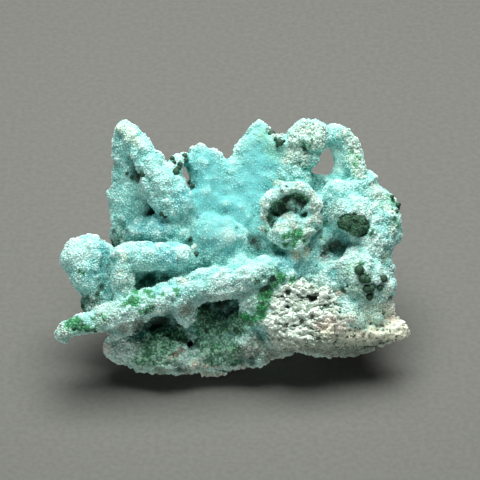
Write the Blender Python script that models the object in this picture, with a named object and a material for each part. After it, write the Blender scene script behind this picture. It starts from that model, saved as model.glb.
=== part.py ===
# Drusy chrysocolla with malachite on its host rock: a hand-sized mineral specimen, 70 mm wide.
#
# It is laid out on the plane that its best side shows, which leans back from upright. A place
# on it is (across, rise, near): millimetres to the right, up that plane, and out of it towards
# the viewer. world_point turns such a place into the part's own frame, +Z up, in metres.

import math

import bmesh
import bpy
from mathutils import Vector, noise
from mathutils.bvhtree import BVHTree

MM = 0.001
LEAN_DEG = 40.0
MIDDLE_OF_FOOTPRINT = (0.37, 16.7)

BEAD_SPACING = 0.4  # in radii
GROWTH_VOXEL = 0.5
GROWTH_SMOOTHING = 5
GROWTH_TRIANGLES = 6400
ROCK_VOXEL = 0.5
ROCK_SMOOTHING = 2
ROCK_TRIANGLES = 1300
RIDGE_HEIGHT = 0.8
SEAM_GAP = 0.6
SEAM_TRIANGLES = 1600

# Fingers, arms and bosses: chains of (across, rise, near, radius), round at both ends.
FINGERS = {
    "spire_slab": [(-21.4, 49.0, 4.2, 2.2), (-21.7, 45.0, 3.5, 2.2), (-21.7, 40.5, 2.5, 2.3),
                   (-21.5, 36.5, 1.5, 2.9), (-20.8, 33.0, 0.5, 3.6), (-19.6, 29.6, 0.0, 4.2)],
    "spire_left_bulge": [(-23.4, 36.4, 1.5, 2.0), (-22.8, 34.4, 1.0, 2.2)],
    "spire_arm": [(-20.9, 49.0, 5.6, 2.5), (-19.4, 47.2, 6.2, 2.6), (-17.4, 44.4, 6.8, 2.8),
                  (-15.4, 41.4, 7.3, 3.1), (-13.8, 38.6, 7.5, 3.7), (-11.4, 35.6, 7.0, 3.8),
                  (-9.4, 33.2, 5.5, 3.2)],
    "spire_arm_lobe": [(-15.8, 39.4, 7.4, 2.6), (-14.6, 36.6, 7.4, 2.6), (-12.0, 33.8, 7.0, 2.8)],
    "spire_web": [(-19.6, 42.0, 3.0, 1.8), (-18.0, 37.0, 2.5, 2.6), (-15.4, 32.0, 1.5, 3.4)],
    "second_finger": [(-7.0, 44.6, 1.0, 1.9), (-5.6, 43.8, 1.0, 2.9), (-5.6, 40.0, 1.5, 3.0),
                      (-5.0, 35.0, 2.0, 3.8)],
    "second_finger_shoulder": [(-4.4, 43.6, 0.8, 2.4), (-2.2, 42.6, 0.8, 1.9),
                               (-1.6, 40.0, 1.0, 2.2)],
    "blue_hollow_wall": [(-7.0, 34.0, 2.0, 3.4), (-2.0, 34.5, 2.0, 3.6), (2.0, 31.0, 2.5, 3.6)],
    "blue_lump": [(-4.6, 29.0, 6.0, 3.8), (-2.0, 28.0, 6.6, 4.4), (1.2, 27.6, 6.0, 3.2)],
    "blue_lump_skirt": [(-6.0, 25.0, 6.6, 2.4), (-1.6, 24.2, 7.4, 2.4), (2.6, 24.0, 7.2, 2.0)],
    "top_knob": [(12.2, 46.6, -1.2, 2.6), (15.4, 48.0, -1.0, 4.1), (16.6, 48.2, -1.2, 3.2)],
    "top_knob_stalk": [(13.6, 45.0, -1.5, 3.2), (12.6, 41.0, -1.5, 3.2), (13.0, 38.0, -1.0, 3.0)],
    "arch_outer": [(20.2, 49.4, -2.5, 1.5), (22.6, 48.6, -2.5, 1.9), (24.0, 46.0, -2.5, 2.0),
                   (24.8, 42.6, -2.0, 2.2), (25.0, 39.4, -1.5, 2.4), (24.6, 36.0, 0.0, 3.2)],
    "arch_inner": [(19.6, 49.0, -3.0, 1.3), (20.6, 46.0, -3.4, 1.2), (21.2, 43.0, -3.4, 1.2),
                   (21.9, 40.0, -3.0, 1.4)],
    "arch_foot": [(13.0, 38.8, -3.5, 2.2), (18.0, 38.6, -4.0, 2.2), (24.0, 38.4, -3.0, 2.4)],
    "shoulder_knob": [(28.2, 40.0, -1.5, 1.4), (27.0, 37.8, -1.0, 2.0)],
    "right_shoulder": [(29.4, 34.8, -0.5, 3.2), (30.4, 33.0, 0.0, 3.5), (29.0, 29.0, 1.0, 4.0)],
    "right_elbow": [(32.6, 30.0, -0.5, 1.8), (32.2, 27.6, 0.0, 1.9)],
    "nodule_bed": [(21.0, 36.0, 3.0, 3.6), (23.0, 33.0, 3.4, 4.4), (26.0, 31.0, 3.6, 4.6),
                   (28.0, 26.8, 4.0, 4.4)],
    "boss": [(11.8, 32.4, -2.0, 7.0), (11.8, 32.6, 2.0, 6.6), (11.6, 32.6, 4.6, 6.0)],
    "boss_filling": [(9.4, 29.8, 7.6, 2.6), (12.6, 30.0, 8.2, 2.8), (15.4, 31.0, 7.8, 2.4)],
    "boss_chin": [(12.4, 28.4, 5.6, 3.4), (13.6, 25.8, 5.8, 2.9), (14.8, 24.2, 5.6, 2.3)],
    "boss_cheek": [(5.6, 28.4, 4.0, 2.0), (8.0, 26.6, 4.4, 2.4)],
    "ball_mass": [(23.0, 22.4, 5.0, 4.2), (25.6, 20.6, 6.2, 5.4), (27.6, 18.0, 5.6, 4.6)],
    "ball_mass_edge": [(30.2, 22.0, 3.6, 2.2), (30.6, 18.4, 3.6, 2.1), (30.2, 15.6, 3.4, 1.8)],
    "ball_mass_top": [(28.6, 25.0, 3.6, 3.2), (24.6, 24.8, 5.0, 2.2)],
    "lower_right_skirt": [(24.0, 13.6, 6.4, 3.6), (27.4, 12.8, 6.0, 3.4)],
    "skirt_foot": [(22.0, 12.8, 8.0, 2.0), (26.4, 12.6, 7.6, 2.0), (30.0, 13.6, 5.4, 1.8)],
    "valley_ridge": [(16.2, 21.4, 6.0, 2.5), (19.0, 19.8, 5.6, 3.0), (20.6, 15.8, 5.4, 3.0)],
    "left_knob": [(-30.6, 24.2, 6.0, 3.7), (-28.2, 24.6, 6.2, 4.3), (-28.8, 21.4, 6.0, 4.1),
                  (-26.6, 18.0, 4.8, 3.0)],
    "left_web": [(-25.4, 24.4, 3.2, 2.6), (-25.2, 19.0, 3.4, 2.8), (-24.0, 15.6, 3.4, 2.8)],
    "left_knob_foot": [(-28.2, 15.0, 5.0, 2.2), (-25.4, 15.0, 4.8, 3.0), (-22.0, 14.6, 4.6, 3.2)],
    "loop_bar": [(-21.0, 24.3, 9.0, 2.9), (-15.5, 24.4, 9.0, 3.0), (-10.4, 24.3, 9.0, 2.9)],
    "loop_leg": [(-21.2, 24.0, 9.0, 2.8), (-21.4, 20.4, 8.8, 2.7), (-21.3, 17.4, 8.4, 2.4)],
    "long_finger": [(-33.0, 9.3, 11.0, 2.1), (-30.4, 10.7, 11.0, 2.0), (-25.9, 12.0, 10.8, 2.6),
                    (-21.0, 13.2, 10.6, 3.1), (-16.1, 15.2, 10.4, 3.2), (-11.2, 16.6, 10.3, 3.3),
                    (-6.3, 18.4, 10.2, 3.3), (-1.3, 19.4, 10.0, 3.5), (3.6, 20.6, 9.4, 3.5),
                    (7.5, 21.7, 8.4, 3.1), (11.4, 22.1, 7.2, 2.7)],
    "finger_knob": [(-9.2, 13.8, 9.6, 2.4), (-9.0, 12.0, 8.8, 2.0)],
    "finger_elbow": [(-19.4, 11.0, 9.8, 2.4), (-22.6, 9.9, 9.2, 2.0)],
    "front_wall_left": [(-23.0, 6.2, 3.4, 2.7), (-18.4, 5.2, 4.0, 3.7), (-13.0, 4.8, 4.4, 4.1),
                        (-9.0, 4.6, 3.8, 3.7)],
    "front_wall_dome": [(-14.2, 7.2, 4.6, 3.4), (-11.8, 6.6, 4.6, 3.2)],
    "front_wall_middle": [(-4.0, 5.6, 3.4, 3.8), (-1.0, 6.0, 3.4, 3.8)],
    "front_bulge": [(2.8, 7.2, 4.8, 3.6), (4.6, 5.6, 4.2, 3.4)],
    "middle_pillar": [(3.4, 15.2, 7.8, 2.9), (4.6, 11.6, 6.6, 3.0), (7.0, 16.4, 7.4, 2.6)],
    "gap_wall": [(8.4, 7.4, 3.6, 3.2), (11.0, 9.0, 3.4, 3.6)],
    "back_ridge": [(-18.0, 28.0, -6.0, 7.0), (-6.0, 32.0, -6.0, 7.0), (8.0, 34.0, -8.0, 7.5),
                   (20.0, 31.0, -7.0, 7.0), (27.0, 27.0, -4.0, 5.5)],
    "core_upper": [(-17.0, 21.0, 0.0, 7.0), (-6.0, 23.0, 0.0, 7.5), (6.0, 25.0, -0.5, 8.0),
                   (17.0, 24.0, -0.5, 8.0), (24.0, 21.0, 0.5, 6.0)],
    "core_lower": [(-17.0, 10.0, -1.0, 6.0), (-6.0, 11.0, -3.0, 7.5), (8.0, 13.0, -2.0, 8.0),
                   (20.0, 13.0, 0.0, 7.0)],
}

# Small balls along the broken rims: (across, rise, near, radius).
RIM_BALLS = [
    (-10.3, 43.4, 4.0, 1.8), (-11.5, 43.6, 4.4, 1.1), (-9.5, 44.0, 3.6, 1.2),
    (-9.2, 42.9, 3.2, 1.2), (-11.4, 42.4, 5.0, 1.5), (-8.6, 43.0, 2.2, 1.3),
    (-11.2, 41.4, 5.6, 1.6), (-10.8, 40.2, 5.6, 1.5), (-10.0, 38.8, 5.2, 1.5),
    (6.8, 49.0, 0.4, 1.1), (8.0, 49.3, 0.1, 1.1), (8.8, 48.2, 0.1, 1.1), (7.6, 47.4, 0.6, 1.1),
    (10.0, 48.6, -0.5, 1.0), (10.6, 48.8, -0.8, 1.0), (9.6, 46.6, 0.4, 1.1), (10.4, 47.4, -0.4, 1.2),
]

# The crusted rim round the boss: middle (across, rise, near), ring radius and tube radius.
BOSS_RIM = (11.7, 32.8, 9.6, 4.7, 1.7)
RING_WAVER = 0.25

# The broad pointed blade, as an outline of (across, rise, near) round its front face.
BLADE = [
    (5.6, 52.0, 0.0), (2.0, 48.8, 1.0), (0.8, 46.4, 1.4), (-0.2, 43.9, 1.8), (-2.6, 42.0, 2.6),
    (-2.6, 39.0, 3.0), (-0.4, 34.0, 4.2), (1.8, 30.6, 5.0), (4.4, 31.0, 5.0), (6.8, 35.6, 4.0),
    (10.4, 39.8, 2.2), (12.2, 43.4, 0.8), (9.8, 46.6, 0.2), (7.4, 49.6, 0.0),
]
BLADE_THICKNESS = 3.4

# Caverns, gaps and vugs: chains like the fingers, taken out of the growth.
HOLLOWS = {
    "right_hollow": [(18.8, 25.4, 10.0, 1.6), (20.8, 25.9, 9.0, 2.2), (22.8, 26.4, 9.6, 1.8)],
    "right_hollow_depth": [(20.6, 25.8, 7.4, 2.3), (21.2, 26.0, 3.2, 2.0)],
    "left_hollow": [(5.0, 29.2, 9.8, 1.2), (4.4, 27.4, 8.8, 1.6), (3.8, 25.4, 9.6, 1.1)],
    "spire_hollow": [(-16.4, 35.0, 4.4, 1.3), (-14.8, 33.0, 3.8, 1.9), (-13.0, 31.8, 4.2, 1.4)],
    "under_bar": [(-17.4, 20.2, 9.0, 1.7), (-14.4, 20.4, 8.6, 1.7), (-11.4, 21.0, 9.0, 1.3)],
    "under_bar_depth": [(-17.0, 19.6, 8.0, 1.8), (-15.4, 19.6, 3.4, 2.2)],
    "left_groove": [(-25.0, 26.4, 12.0, 1.0), (-24.9, 22.4, 10.6, 1.2), (-24.8, 18.6, 10.2, 1.3),
                    (-24.8, 16.6, 10.0, 1.1)],
    "left_groove_depth": [(-24.9, 24.0, 8.4, 1.0), (-24.8, 18.6, 7.6, 1.1)],
    "finger_cavern": [(-19.6, 9.2, 7.2, 1.2), (-17.2, 10.4, 6.6, 1.8), (-14.4, 11.4, 6.4, 2.2),
                      (-11.4, 10.8, 6.6, 1.8), (-9.6, 9.2, 7.2, 1.2)],
    "finger_cavern_depth": [(-15.6, 11.0, 6.0, 1.9), (-15.2, 11.0, 2.0, 2.0)],
    "dark_cavern": [(-6.8, 11.6, 7.8, 1.6), (-4.6, 12.8, 7.0, 2.4), (-2.0, 14.0, 6.6, 2.6),
                    (0.4, 15.4, 7.6, 1.6)],
    "dark_cavern_floor": [(-5.4, 9.8, 7.4, 1.8), (-2.6, 10.6, 6.6, 2.4), (0.2, 11.2, 7.0, 1.8)],
    "dark_cavern_depth": [(-2.4, 13.2, 5.0, 2.3), (-2.6, 12.6, 0.0, 2.4)],
    "black_hole": [(-8.2, 6.8, 9.0, 1.0), (-8.2, 7.2, 1.0, 1.0)],
    "boss_vug": [(7.6, 31.0, 11.0, 1.3), (8.6, 33.0, 10.4, 1.8), (10.4, 35.0, 10.2, 1.9),
                 (13.6, 35.8, 10.6, 1.7)],
    "boss_vug_side": [(15.2, 33.6, 11.0, 1.3), (13.8, 32.4, 10.8, 1.2)],
    "boss_vug_depth": [(9.0, 33.4, 8.8, 1.4), (11.0, 34.8, 8.8, 1.4), (13.4, 35.2, 9.4, 1.3)],
    "knob_vug": [(13.8, 46.6, 2.6, 1.4), (14.6, 45.6, 2.4, 1.3)],
}

# The three-cornered gap that can be seen through under the arch, cut from front to back.
WINDOW = [(19.3, 46.0, 5.0), (16.2, 41.0, 5.0), (20.5, 40.9, 5.0)]
WINDOW_DEPTH = 14.0

# Small pits in the face of the rock: (across, rise, near, radius).
ROCK_PITS = [
    (16.2, 16.2, 9.9, 1.3), (11.4, 17.2, 10.2, 1.1), (11.0, 14.2, 10.9, 0.8),
    (10.8, 10.6, 11.2, 1.0), (14.8, 12.0, 11.0, 1.0), (18.6, 14.6, 10.6, 0.8),
    (28.6, 9.6, 9.2, 0.8), (23.0, 9.2, 10.4, 0.7),
]

# The host rock: convex lumps of (across, rise, near) corners, and a slab in the part's frame.
ROCK_SLAB = [
    (-22.0, 5.0, 0.0), (-20.0, 2.2, 0.0), (-8.0, 1.0, 0.0), (-1.0, 2.0, 0.0), (4.0, 5.0, 0.0),
    (26.0, 15.0, 0.0), (24.0, 26.0, 0.0), (10.0, 32.0, 0.0), (-8.0, 31.0, 0.0), (-20.0, 24.0, 0.0),
    (-21.0, 6.0, 3.6), (-8.0, 2.4, 2.6), (2.0, 4.6, 3.0), (26.0, 11.0, 5.0), (29.0, 16.0, 6.5),
    (25.0, 27.0, 6.0), (10.0, 34.0, 5.0), (-8.0, 33.0, 5.0), (-22.0, 24.0, 4.5),
]
ROCK_BACK = [
    (-19.0, 28.0, 0.0), (-20.0, 33.0, 5.0), (-17.0, 35.2, 12.0), (-13.0, 34.8, 18.0),
    (-3.0, 36.6, 19.0), (8.0, 37.4, 21.0), (18.0, 36.2, 20.0), (24.0, 33.5, 15.0),
    (26.5, 31.0, 8.0), (25.0, 28.0, 0.0), (-10.0, 34.6, 2.0), (10.0, 35.6, 1.5),
    (0.0, 20.0, 14.0), (-12.0, 31.0, 0.0), (12.0, 33.0, 0.0),
]
ROCK_LUMPS = {
    "porous_block": [(7.0, 17.6, 9.0), (12.0, 19.6, 9.4), (19.0, 18.2, 9.0), (22.4, 15.0, 9.0),
                     (21.6, 9.4, 10.6), (13.0, 7.4, 10.6), (7.4, 10.2, 10.0), (9.0, 6.4, 7.0),
                     (14.0, 6.0, 2.0), (20.0, 8.0, 0.0), (8.0, 14.0, 2.0), (20.0, 17.0, 2.0)],
    "ledge": [(13.0, 7.6, 10.0), (20.0, 7.6, 9.4), (28.0, 7.8, 8.0), (36.6, 8.2, 6.0),
              (34.4, 11.0, 5.2), (31.4, 14.4, 4.2), (26.0, 13.0, 7.0), (20.0, 12.0, 9.4),
              (18.0, 5.6, 2.0), (26.0, 6.0, 1.0), (30.0, 10.0, 0.0)],
    "under_ledge": [(14.0, 5.6, 4.0), (20.0, 4.2, 2.6), (25.0, 4.0, 1.6), (28.6, 5.4, 0.6),
                    (28.0, 8.0, 3.4), (16.0, 8.0, 4.4), (14.0, 8.6, -7.0), (26.0, 9.0, -9.0)],
    "front_lip": [(-9.0, 1.6, 2.4), (-6.0, 0.4, 1.2), (-1.0, 0.8, 1.0), (4.0, 3.0, 1.6),
                  (4.0, 4.0, 0.0), (-9.0, 3.0, 0.0), (4.0, 4.6, -4.0), (-9.0, 4.0, -5.0)],
}

# Malachite, set into the growth where it meets the line of sight at (across, rise).
NODULE_PLACE = (24.2, 30.5)
NODULE_HALF_SIZES = (3.1, 2.1, 1.7)
NODULE_TURN_DEG = -12.0
NODULE_STANDS_OUT = 0.5
# Balls as (across, rise, radius); those that have grown together are one piece.
BALLS = {
    "malachite_ball_top": [(25.0, 21.7, 0.95)],
    "malachite_ball_pair_upper": [(25.7, 20.0, 0.85), (26.6, 19.75, 0.65)],
    "malachite_ball_pair_lower": [(26.5, 18.0, 0.78), (27.4, 18.05, 0.7)],
    "malachite_ball_bottom": [(27.1, 16.4, 0.7)],
    "malachite_ball_right": [(29.9, 20.0, 0.75)],
    "malachite_ball_small": [(29.1, 18.1, 0.55)],
}
BALL_STANDS_OUT = 0.35
BALL_VOXEL = 0.12
BALL_TRIANGLES = 80
SOCKET_GAP = 0.3
SOCKET_TRIANGLES = 90

COLOURS = {
    "druse": ((0.42, 0.78, 0.76, 1.0), 0.35),
    "rock": ((0.70, 0.74, 0.66, 1.0), 0.8),
    "malachite": ((0.05, 0.12, 0.07, 1.0), 0.55),
}


def world_point(across, rise, near):
    """The part's own point for a place on the leaning plane, in metres."""
    lean = math.radians(LEAN_DEG)
    x = across - MIDDLE_OF_FOOTPRINT[0]
    y = rise * math.sin(lean) - near * math.cos(lean) - MIDDLE_OF_FOOTPRINT[1]
    z = rise * math.cos(lean) + near * math.sin(lean)
    return Vector((x, y, z)) * MM


def floor_point(x, y, z):
    """A point given by its distance behind the front edge and its height."""
    return Vector((x - MIDDLE_OF_FOOTPRINT[0], y - MIDDLE_OF_FOOTPRINT[1], z)) * MM


def clear_scene():
    for old in list(bpy.data.objects):
        bpy.data.objects.remove(old)


def finish_material(name):
    colour, roughness = COLOURS[name]
    material = bpy.data.materials.new(name)
    material.use_nodes = True
    shader = material.node_tree.nodes["Principled BSDF"]
    shader.inputs["Base Color"].default_value = colour
    shader.inputs["Roughness"].default_value = roughness
    return material


def add_object(name, mesh):
    made = bpy.data.objects.new(name, mesh)
    bpy.context.scene.collection.objects.link(made)
    return made


def mesh_from(name, build):
    """A new mesh that the function build fills."""
    shape = bmesh.new()
    build(shape)
    mesh = bpy.data.meshes.new(name)
    shape.to_mesh(mesh)
    shape.free()
    return mesh


def evaluated_copy(made):
    """The object's mesh with its modifiers applied."""
    graph = bpy.context.evaluated_depsgraph_get()
    return bpy.data.meshes.new_from_object(made.evaluated_get(graph))


def apply_modifiers(made):
    made.data = evaluated_copy(made)
    made.modifiers.clear()


def unit_ball():
    """The corners and the faces of a ball of radius 1."""
    shape = bmesh.new()
    bmesh.ops.create_icosphere(shape, subdivisions=2, radius=1.0)
    corners = [vertex.co.copy() for vertex in shape.verts]
    faces = [[vertex.index for vertex in face.verts] for face in shape.faces]
    shape.free()
    return corners, faces


BALL_CORNERS, BALL_FACES = unit_ball()


def add_bead(shape, centre, radius):
    made = [shape.verts.new(centre + corner * radius * MM) for corner in BALL_CORNERS]
    for face in BALL_FACES:
        shape.faces.new([made[i] for i in face])


def along(points, t):
    """The Catmull-Rom value at t, which counts whole steps from point to point."""
    last = len(points) - 1
    start = min(int(t), last - 1)
    local = t - start
    before, a, b, after = (points[min(max(start + k, 0), last)] for k in (-1, 0, 1, 2))
    return [
        0.5 * (2 * p1 + (p2 - p0) * local + (2 * p0 - 5 * p1 + 4 * p2 - p3) * local ** 2
               + (3 * p1 - p0 - 3 * p2 + p3) * local ** 3)
        for p0, p1, p2, p3 in zip(before, a, b, after)
    ]


def add_finger(shape, points):
    """Overlapping beads along a smooth line through the points."""
    stops = [0.0]
    for i, (here, there) in enumerate(zip(points, points[1:])):
        spacing = BEAD_SPACING * min(here[3], there[3])
        steps = max(1, math.ceil(math.dist(here[:3], there[:3]) / spacing))
        stops += [i + (step + 1) / steps for step in range(steps)]
    for stop in stops:
        across, rise, near, radius = along(points, stop)
        add_bead(shape, world_point(across, rise, near), radius)


def add_ring(shape, across, rise, near, ring_radius, tube_radius):
    """Beads of uneven size in a wavering ring that faces the viewer."""
    count = 24
    for i in range(count):
        turn = 2.0 * math.pi * i / count
        waver = noise.noise(Vector((1.6 * math.cos(turn), 1.6 * math.sin(turn), 3.0)))
        radius = ring_radius * (1.0 + RING_WAVER * waver)
        place = world_point(across + radius * math.cos(turn), rise + radius * math.sin(turn), near)
        swelling = 1.0 + 2.0 * RING_WAVER * noise.noise(Vector((i * 0.8, 7.0, 1.0)))
        add_bead(shape, place, tube_radius * swelling)


def add_hull(shape, corners):
    made = [shape.verts.new(corner) for corner in corners]
    hull = bmesh.ops.convex_hull(shape, input=made)
    inside = [v for v in hull["geom_interior"] if isinstance(v, bmesh.types.BMVert)]
    bmesh.ops.delete(shape, geom=inside, context="VERTS")


def add_plate(shape, outline, thickness):
    """A flat-sided plate behind an outline."""
    front = [world_point(*corner) for corner in outline]
    back = [world_point(a, r, n - thickness) for a, r, n in outline]
    front_ring = [shape.verts.new(p) for p in front]
    back_ring = [shape.verts.new(p) for p in back]
    shape.faces.new(front_ring)
    shape.faces.new(reversed(back_ring))
    count = len(outline)
    for i in range(count):
        j = (i + 1) % count
        shape.faces.new((front_ring[j], front_ring[i], back_ring[i], back_ring[j]))
    bmesh.ops.recalc_face_normals(shape, faces=shape.faces[:])


def fuse(made, voxel, smoothing):
    """Joins the overlapping shapes into one skin and rounds the joins."""
    remesh = made.modifiers.new("one_skin", "REMESH")
    remesh.mode = "VOXEL"
    remesh.voxel_size = voxel * MM
    remesh.adaptivity = 0.0
    smooth = made.modifiers.new("rounded", "SMOOTH")
    smooth.factor = 0.5
    smooth.iterations = smoothing
    apply_modifiers(made)


def cobbles(point, size):
    """A botryoidal bump from 0 between the lumps to 1 on top of one."""
    distance = noise.voronoi(point / size, distance_metric="DISTANCE")[0][0]
    return math.sqrt(max(0.0, 1.0 - min(distance / 0.75, 1.0) ** 2))


def push_out(mesh, height_at):
    """Moves every corner along its normal by height_at(its place), all in millimetres."""
    front_edge = Vector((*MIDDLE_OF_FOOTPRINT, 0.0))
    moves = [v.normal * height_at(v.co / MM + front_edge) * MM for v in mesh.vertices]
    for vertex, move in zip(mesh.vertices, moves):
        vertex.co += move


def roughen(mesh, lump_size, lump_height, grain_size, grain_height):
    """Raises lumps and a finer unevenness."""
    def height_at(place):
        lump = cobbles(place + Vector((11.0, 3.0, 7.0)), lump_size) - 0.75
        return lump * lump_height + noise.noise(place / grain_size) * grain_height

    push_out(mesh, height_at)


def add_ridges(mesh):
    """Raises the long low ridges that run across the rock's broken faces."""
    def height_at(place):
        return RIDGE_HEIGHT * noise.noise(Vector((place.x / 7.0, place.y / 1.4, place.z / 1.4)))

    push_out(mesh, height_at)


def drop_loose_shells(mesh):
    """Keeps the largest connected shell."""
    shape = bmesh.new()
    shape.from_mesh(mesh)
    left = set(shape.verts)
    shells = []
    while left:
        todo = [left.pop()]
        shell = set(todo)
        while todo:
            for edge in todo.pop().link_edges:
                for vertex in edge.verts:
                    if vertex not in shell:
                        shell.add(vertex)
                        todo.append(vertex)
        left -= shell
        shells.append(shell)
    shells.sort(key=len, reverse=True)
    for shell in shells[1:]:
        bmesh.ops.delete(shape, geom=list(shell), context="VERTS")
    shape.to_mesh(mesh)
    shape.free()


def thin_out(made, triangles):
    """Collapses the skin to about this many triangles."""
    count = sum(len(p.vertices) - 2 for p in made.data.polygons)
    decimate = made.modifiers.new("thinned", "DECIMATE")
    decimate.ratio = triangles / count
    decimate.use_collapse_triangulate = True
    apply_modifiers(made)


def cut_away(made, cutter):
    cut = made.modifiers.new("cut", "BOOLEAN")
    cut.operation = "DIFFERENCE"
    cut.solver = "EXACT"
    cut.object = cutter
    apply_modifiers(made)


def cut_flat(made):
    """Cuts off what is below the floor plane and closes the cut with a flat face."""
    shape = bmesh.new()
    shape.from_mesh(made.data)
    everything = shape.verts[:] + shape.edges[:] + shape.faces[:]
    up = Vector((0.0, 0.0, 1.0))
    near_enough = 0.02 * MM
    bmesh.ops.bisect_plane(shape, geom=everything, dist=near_enough, plane_co=Vector(),
                           plane_no=up, clear_inner=True)
    for vertex in shape.verts:
        if abs(vertex.co.z) <= near_enough:
            vertex.co.z = 0.0
    rim = [edge for edge in shape.edges if edge.is_boundary]
    bmesh.ops.holes_fill(shape, edges=rim, sides=0)
    bmesh.ops.triangulate(shape, faces=[face for face in shape.faces if len(face.verts) > 3])
    bmesh.ops.recalc_face_normals(shape, faces=shape.faces[:])
    shape.to_mesh(made.data)
    shape.free()


def rock_shape(shape):
    for corners in (ROCK_SLAB, ROCK_BACK):
        add_hull(shape, [floor_point(x, y, z - 1.5 if z == 0.0 else z) for x, y, z in corners])
    for corners in ROCK_LUMPS.values():
        add_hull(shape, [world_point(*corner) for corner in corners])


def pit_shape(shape):
    for across, rise, near, radius in ROCK_PITS:
        add_bead(shape, world_point(across, rise, near), radius)


def growth_shape(shape):
    for points in FINGERS.values():
        add_finger(shape, points)
    for across, rise, near, radius in RIM_BALLS:
        add_bead(shape, world_point(across, rise, near), radius)
    add_ring(shape, *BOSS_RIM)
    add_plate(shape, BLADE, BLADE_THICKNESS)


def hollow_shape(shape):
    for points in HOLLOWS.values():
        add_finger(shape, points)
    add_plate(shape, WINDOW, WINDOW_DEPTH)


def swollen(made, gap):
    """A copy of an object with its surface moved out by a gap, in millimetres."""
    copy = add_object("swollen_" + made.name, made.data.copy())
    push_out(copy.data, lambda place: gap)
    return copy


def make_rock():
    rock = add_object("host_rock", mesh_from("host_rock", rock_shape))
    fuse(rock, ROCK_VOXEL, ROCK_SMOOTHING)
    pits = add_object("pits", mesh_from("pits", pit_shape))
    cut_away(rock, pits)
    bpy.data.objects.remove(pits)
    fuse(rock, ROCK_VOXEL, 0)
    add_ridges(rock.data)
    roughen(rock.data, 4.0, 0.8, 1.8, 0.5)
    thin_out(rock, ROCK_TRIANGLES)
    cut_flat(rock)
    drop_loose_shells(rock.data)
    seam = swollen(rock, SEAM_GAP)
    fuse(seam, ROCK_VOXEL, 0)
    thin_out(seam, SEAM_TRIANGLES)
    return rock, seam


def make_growth(seam):
    growth = add_object("chrysocolla_growth", mesh_from("chrysocolla_growth", growth_shape))
    fuse(growth, GROWTH_VOXEL, 0)
    hollows = add_object("hollows", mesh_from("hollows", hollow_shape))
    fuse(hollows, GROWTH_VOXEL, 2)
    cut_away(growth, hollows)
    bpy.data.objects.remove(hollows)
    fuse(growth, GROWTH_VOXEL, GROWTH_SMOOTHING)
    drop_loose_shells(growth.data)
    roughen(growth.data, 3.0, 0.8, 1.4, 0.3)
    thin_out(growth, GROWTH_TRIANGLES)
    cut_away(growth, seam)
    bpy.data.objects.remove(seam)
    drop_loose_shells(growth.data)
    return growth


def surface_near(tree, across, rise):
    """How near to the viewer the growth reaches at a place on the leaning plane."""
    away = world_point(0, 0, -1) - world_point(0, 0, 0)
    hit = tree.ray_cast(world_point(across, rise, 40), away.normalized())
    return 40 - hit[3] / MM


def make_nodule(tree):
    middle = surface_near(tree, *NODULE_PLACE) + NODULE_STANDS_OUT
    turn = math.radians(NODULE_TURN_DEG)

    def build(shape):
        bmesh.ops.create_icosphere(shape, subdivisions=3, radius=1.0)
        for vertex in shape.verts:
            dent = 1.0 + 0.16 * noise.noise(vertex.co * 2.1 + Vector((5.0, 0.0, 2.0)))
            across, rise, near = (c * half * dent for c, half in zip(vertex.co, NODULE_HALF_SIZES))
            turned = (across * math.cos(turn) - rise * math.sin(turn),
                      across * math.sin(turn) + rise * math.cos(turn))
            vertex.co = world_point(NODULE_PLACE[0] + turned[0], NODULE_PLACE[1] + turned[1],
                                    middle + near)
        bmesh.ops.recalc_face_normals(shape, faces=shape.faces[:])

    return add_object("malachite_nodule", mesh_from("malachite_nodule", build))


def make_ball_group(name, tree, places, triangles):
    """One piece of malachite made of balls that overlap."""
    middle = surface_near(tree, *places[0][:2]) + places[0][2] * BALL_STANDS_OUT

    def build(shape):
        for across, rise, radius in places:
            add_bead(shape, world_point(across, rise, middle), radius)

    made = add_object(name, mesh_from(name, build))
    fuse(made, BALL_VOXEL, 2)
    thin_out(made, triangles)
    return made


def make_malachite(growth):
    """The nodule and the balls, each with a socket in the growth."""
    graph = bpy.context.evaluated_depsgraph_get()
    tree = BVHTree.FromObject(growth, graph)
    pieces = [make_nodule(tree)]
    for name, places in BALLS.items():
        pieces.append(make_ball_group(name, tree, places, BALL_TRIANGLES * len(places)))
    for piece in pieces:
        socket = swollen(piece, SOCKET_GAP)
        thin_out(socket, SOCKET_TRIANGLES)
        cut_away(growth, socket)
        bpy.data.objects.remove(socket)
    return pieces


def finish(made, material):
    made.data.materials.clear()
    made.data.materials.append(material)
    for polygon in made.data.polygons:
        polygon.use_smooth = True


def main():
    clear_scene()
    rock, seam = make_rock()
    growth = make_growth(seam)
    pieces = make_malachite(growth)
    finish(rock, finish_material("rock"))
    finish(growth, finish_material("druse"))
    malachite = finish_material("malachite")
    for piece in pieces:
        finish(piece, malachite)


main()
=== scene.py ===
# Drusy chrysocolla with malachite: the looks of the specimen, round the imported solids.
import math

import bmesh
import bpy
import numpy as np
from mathutils import Matrix, Vector, noise
from mathutils.bvhtree import BVHTree


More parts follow.
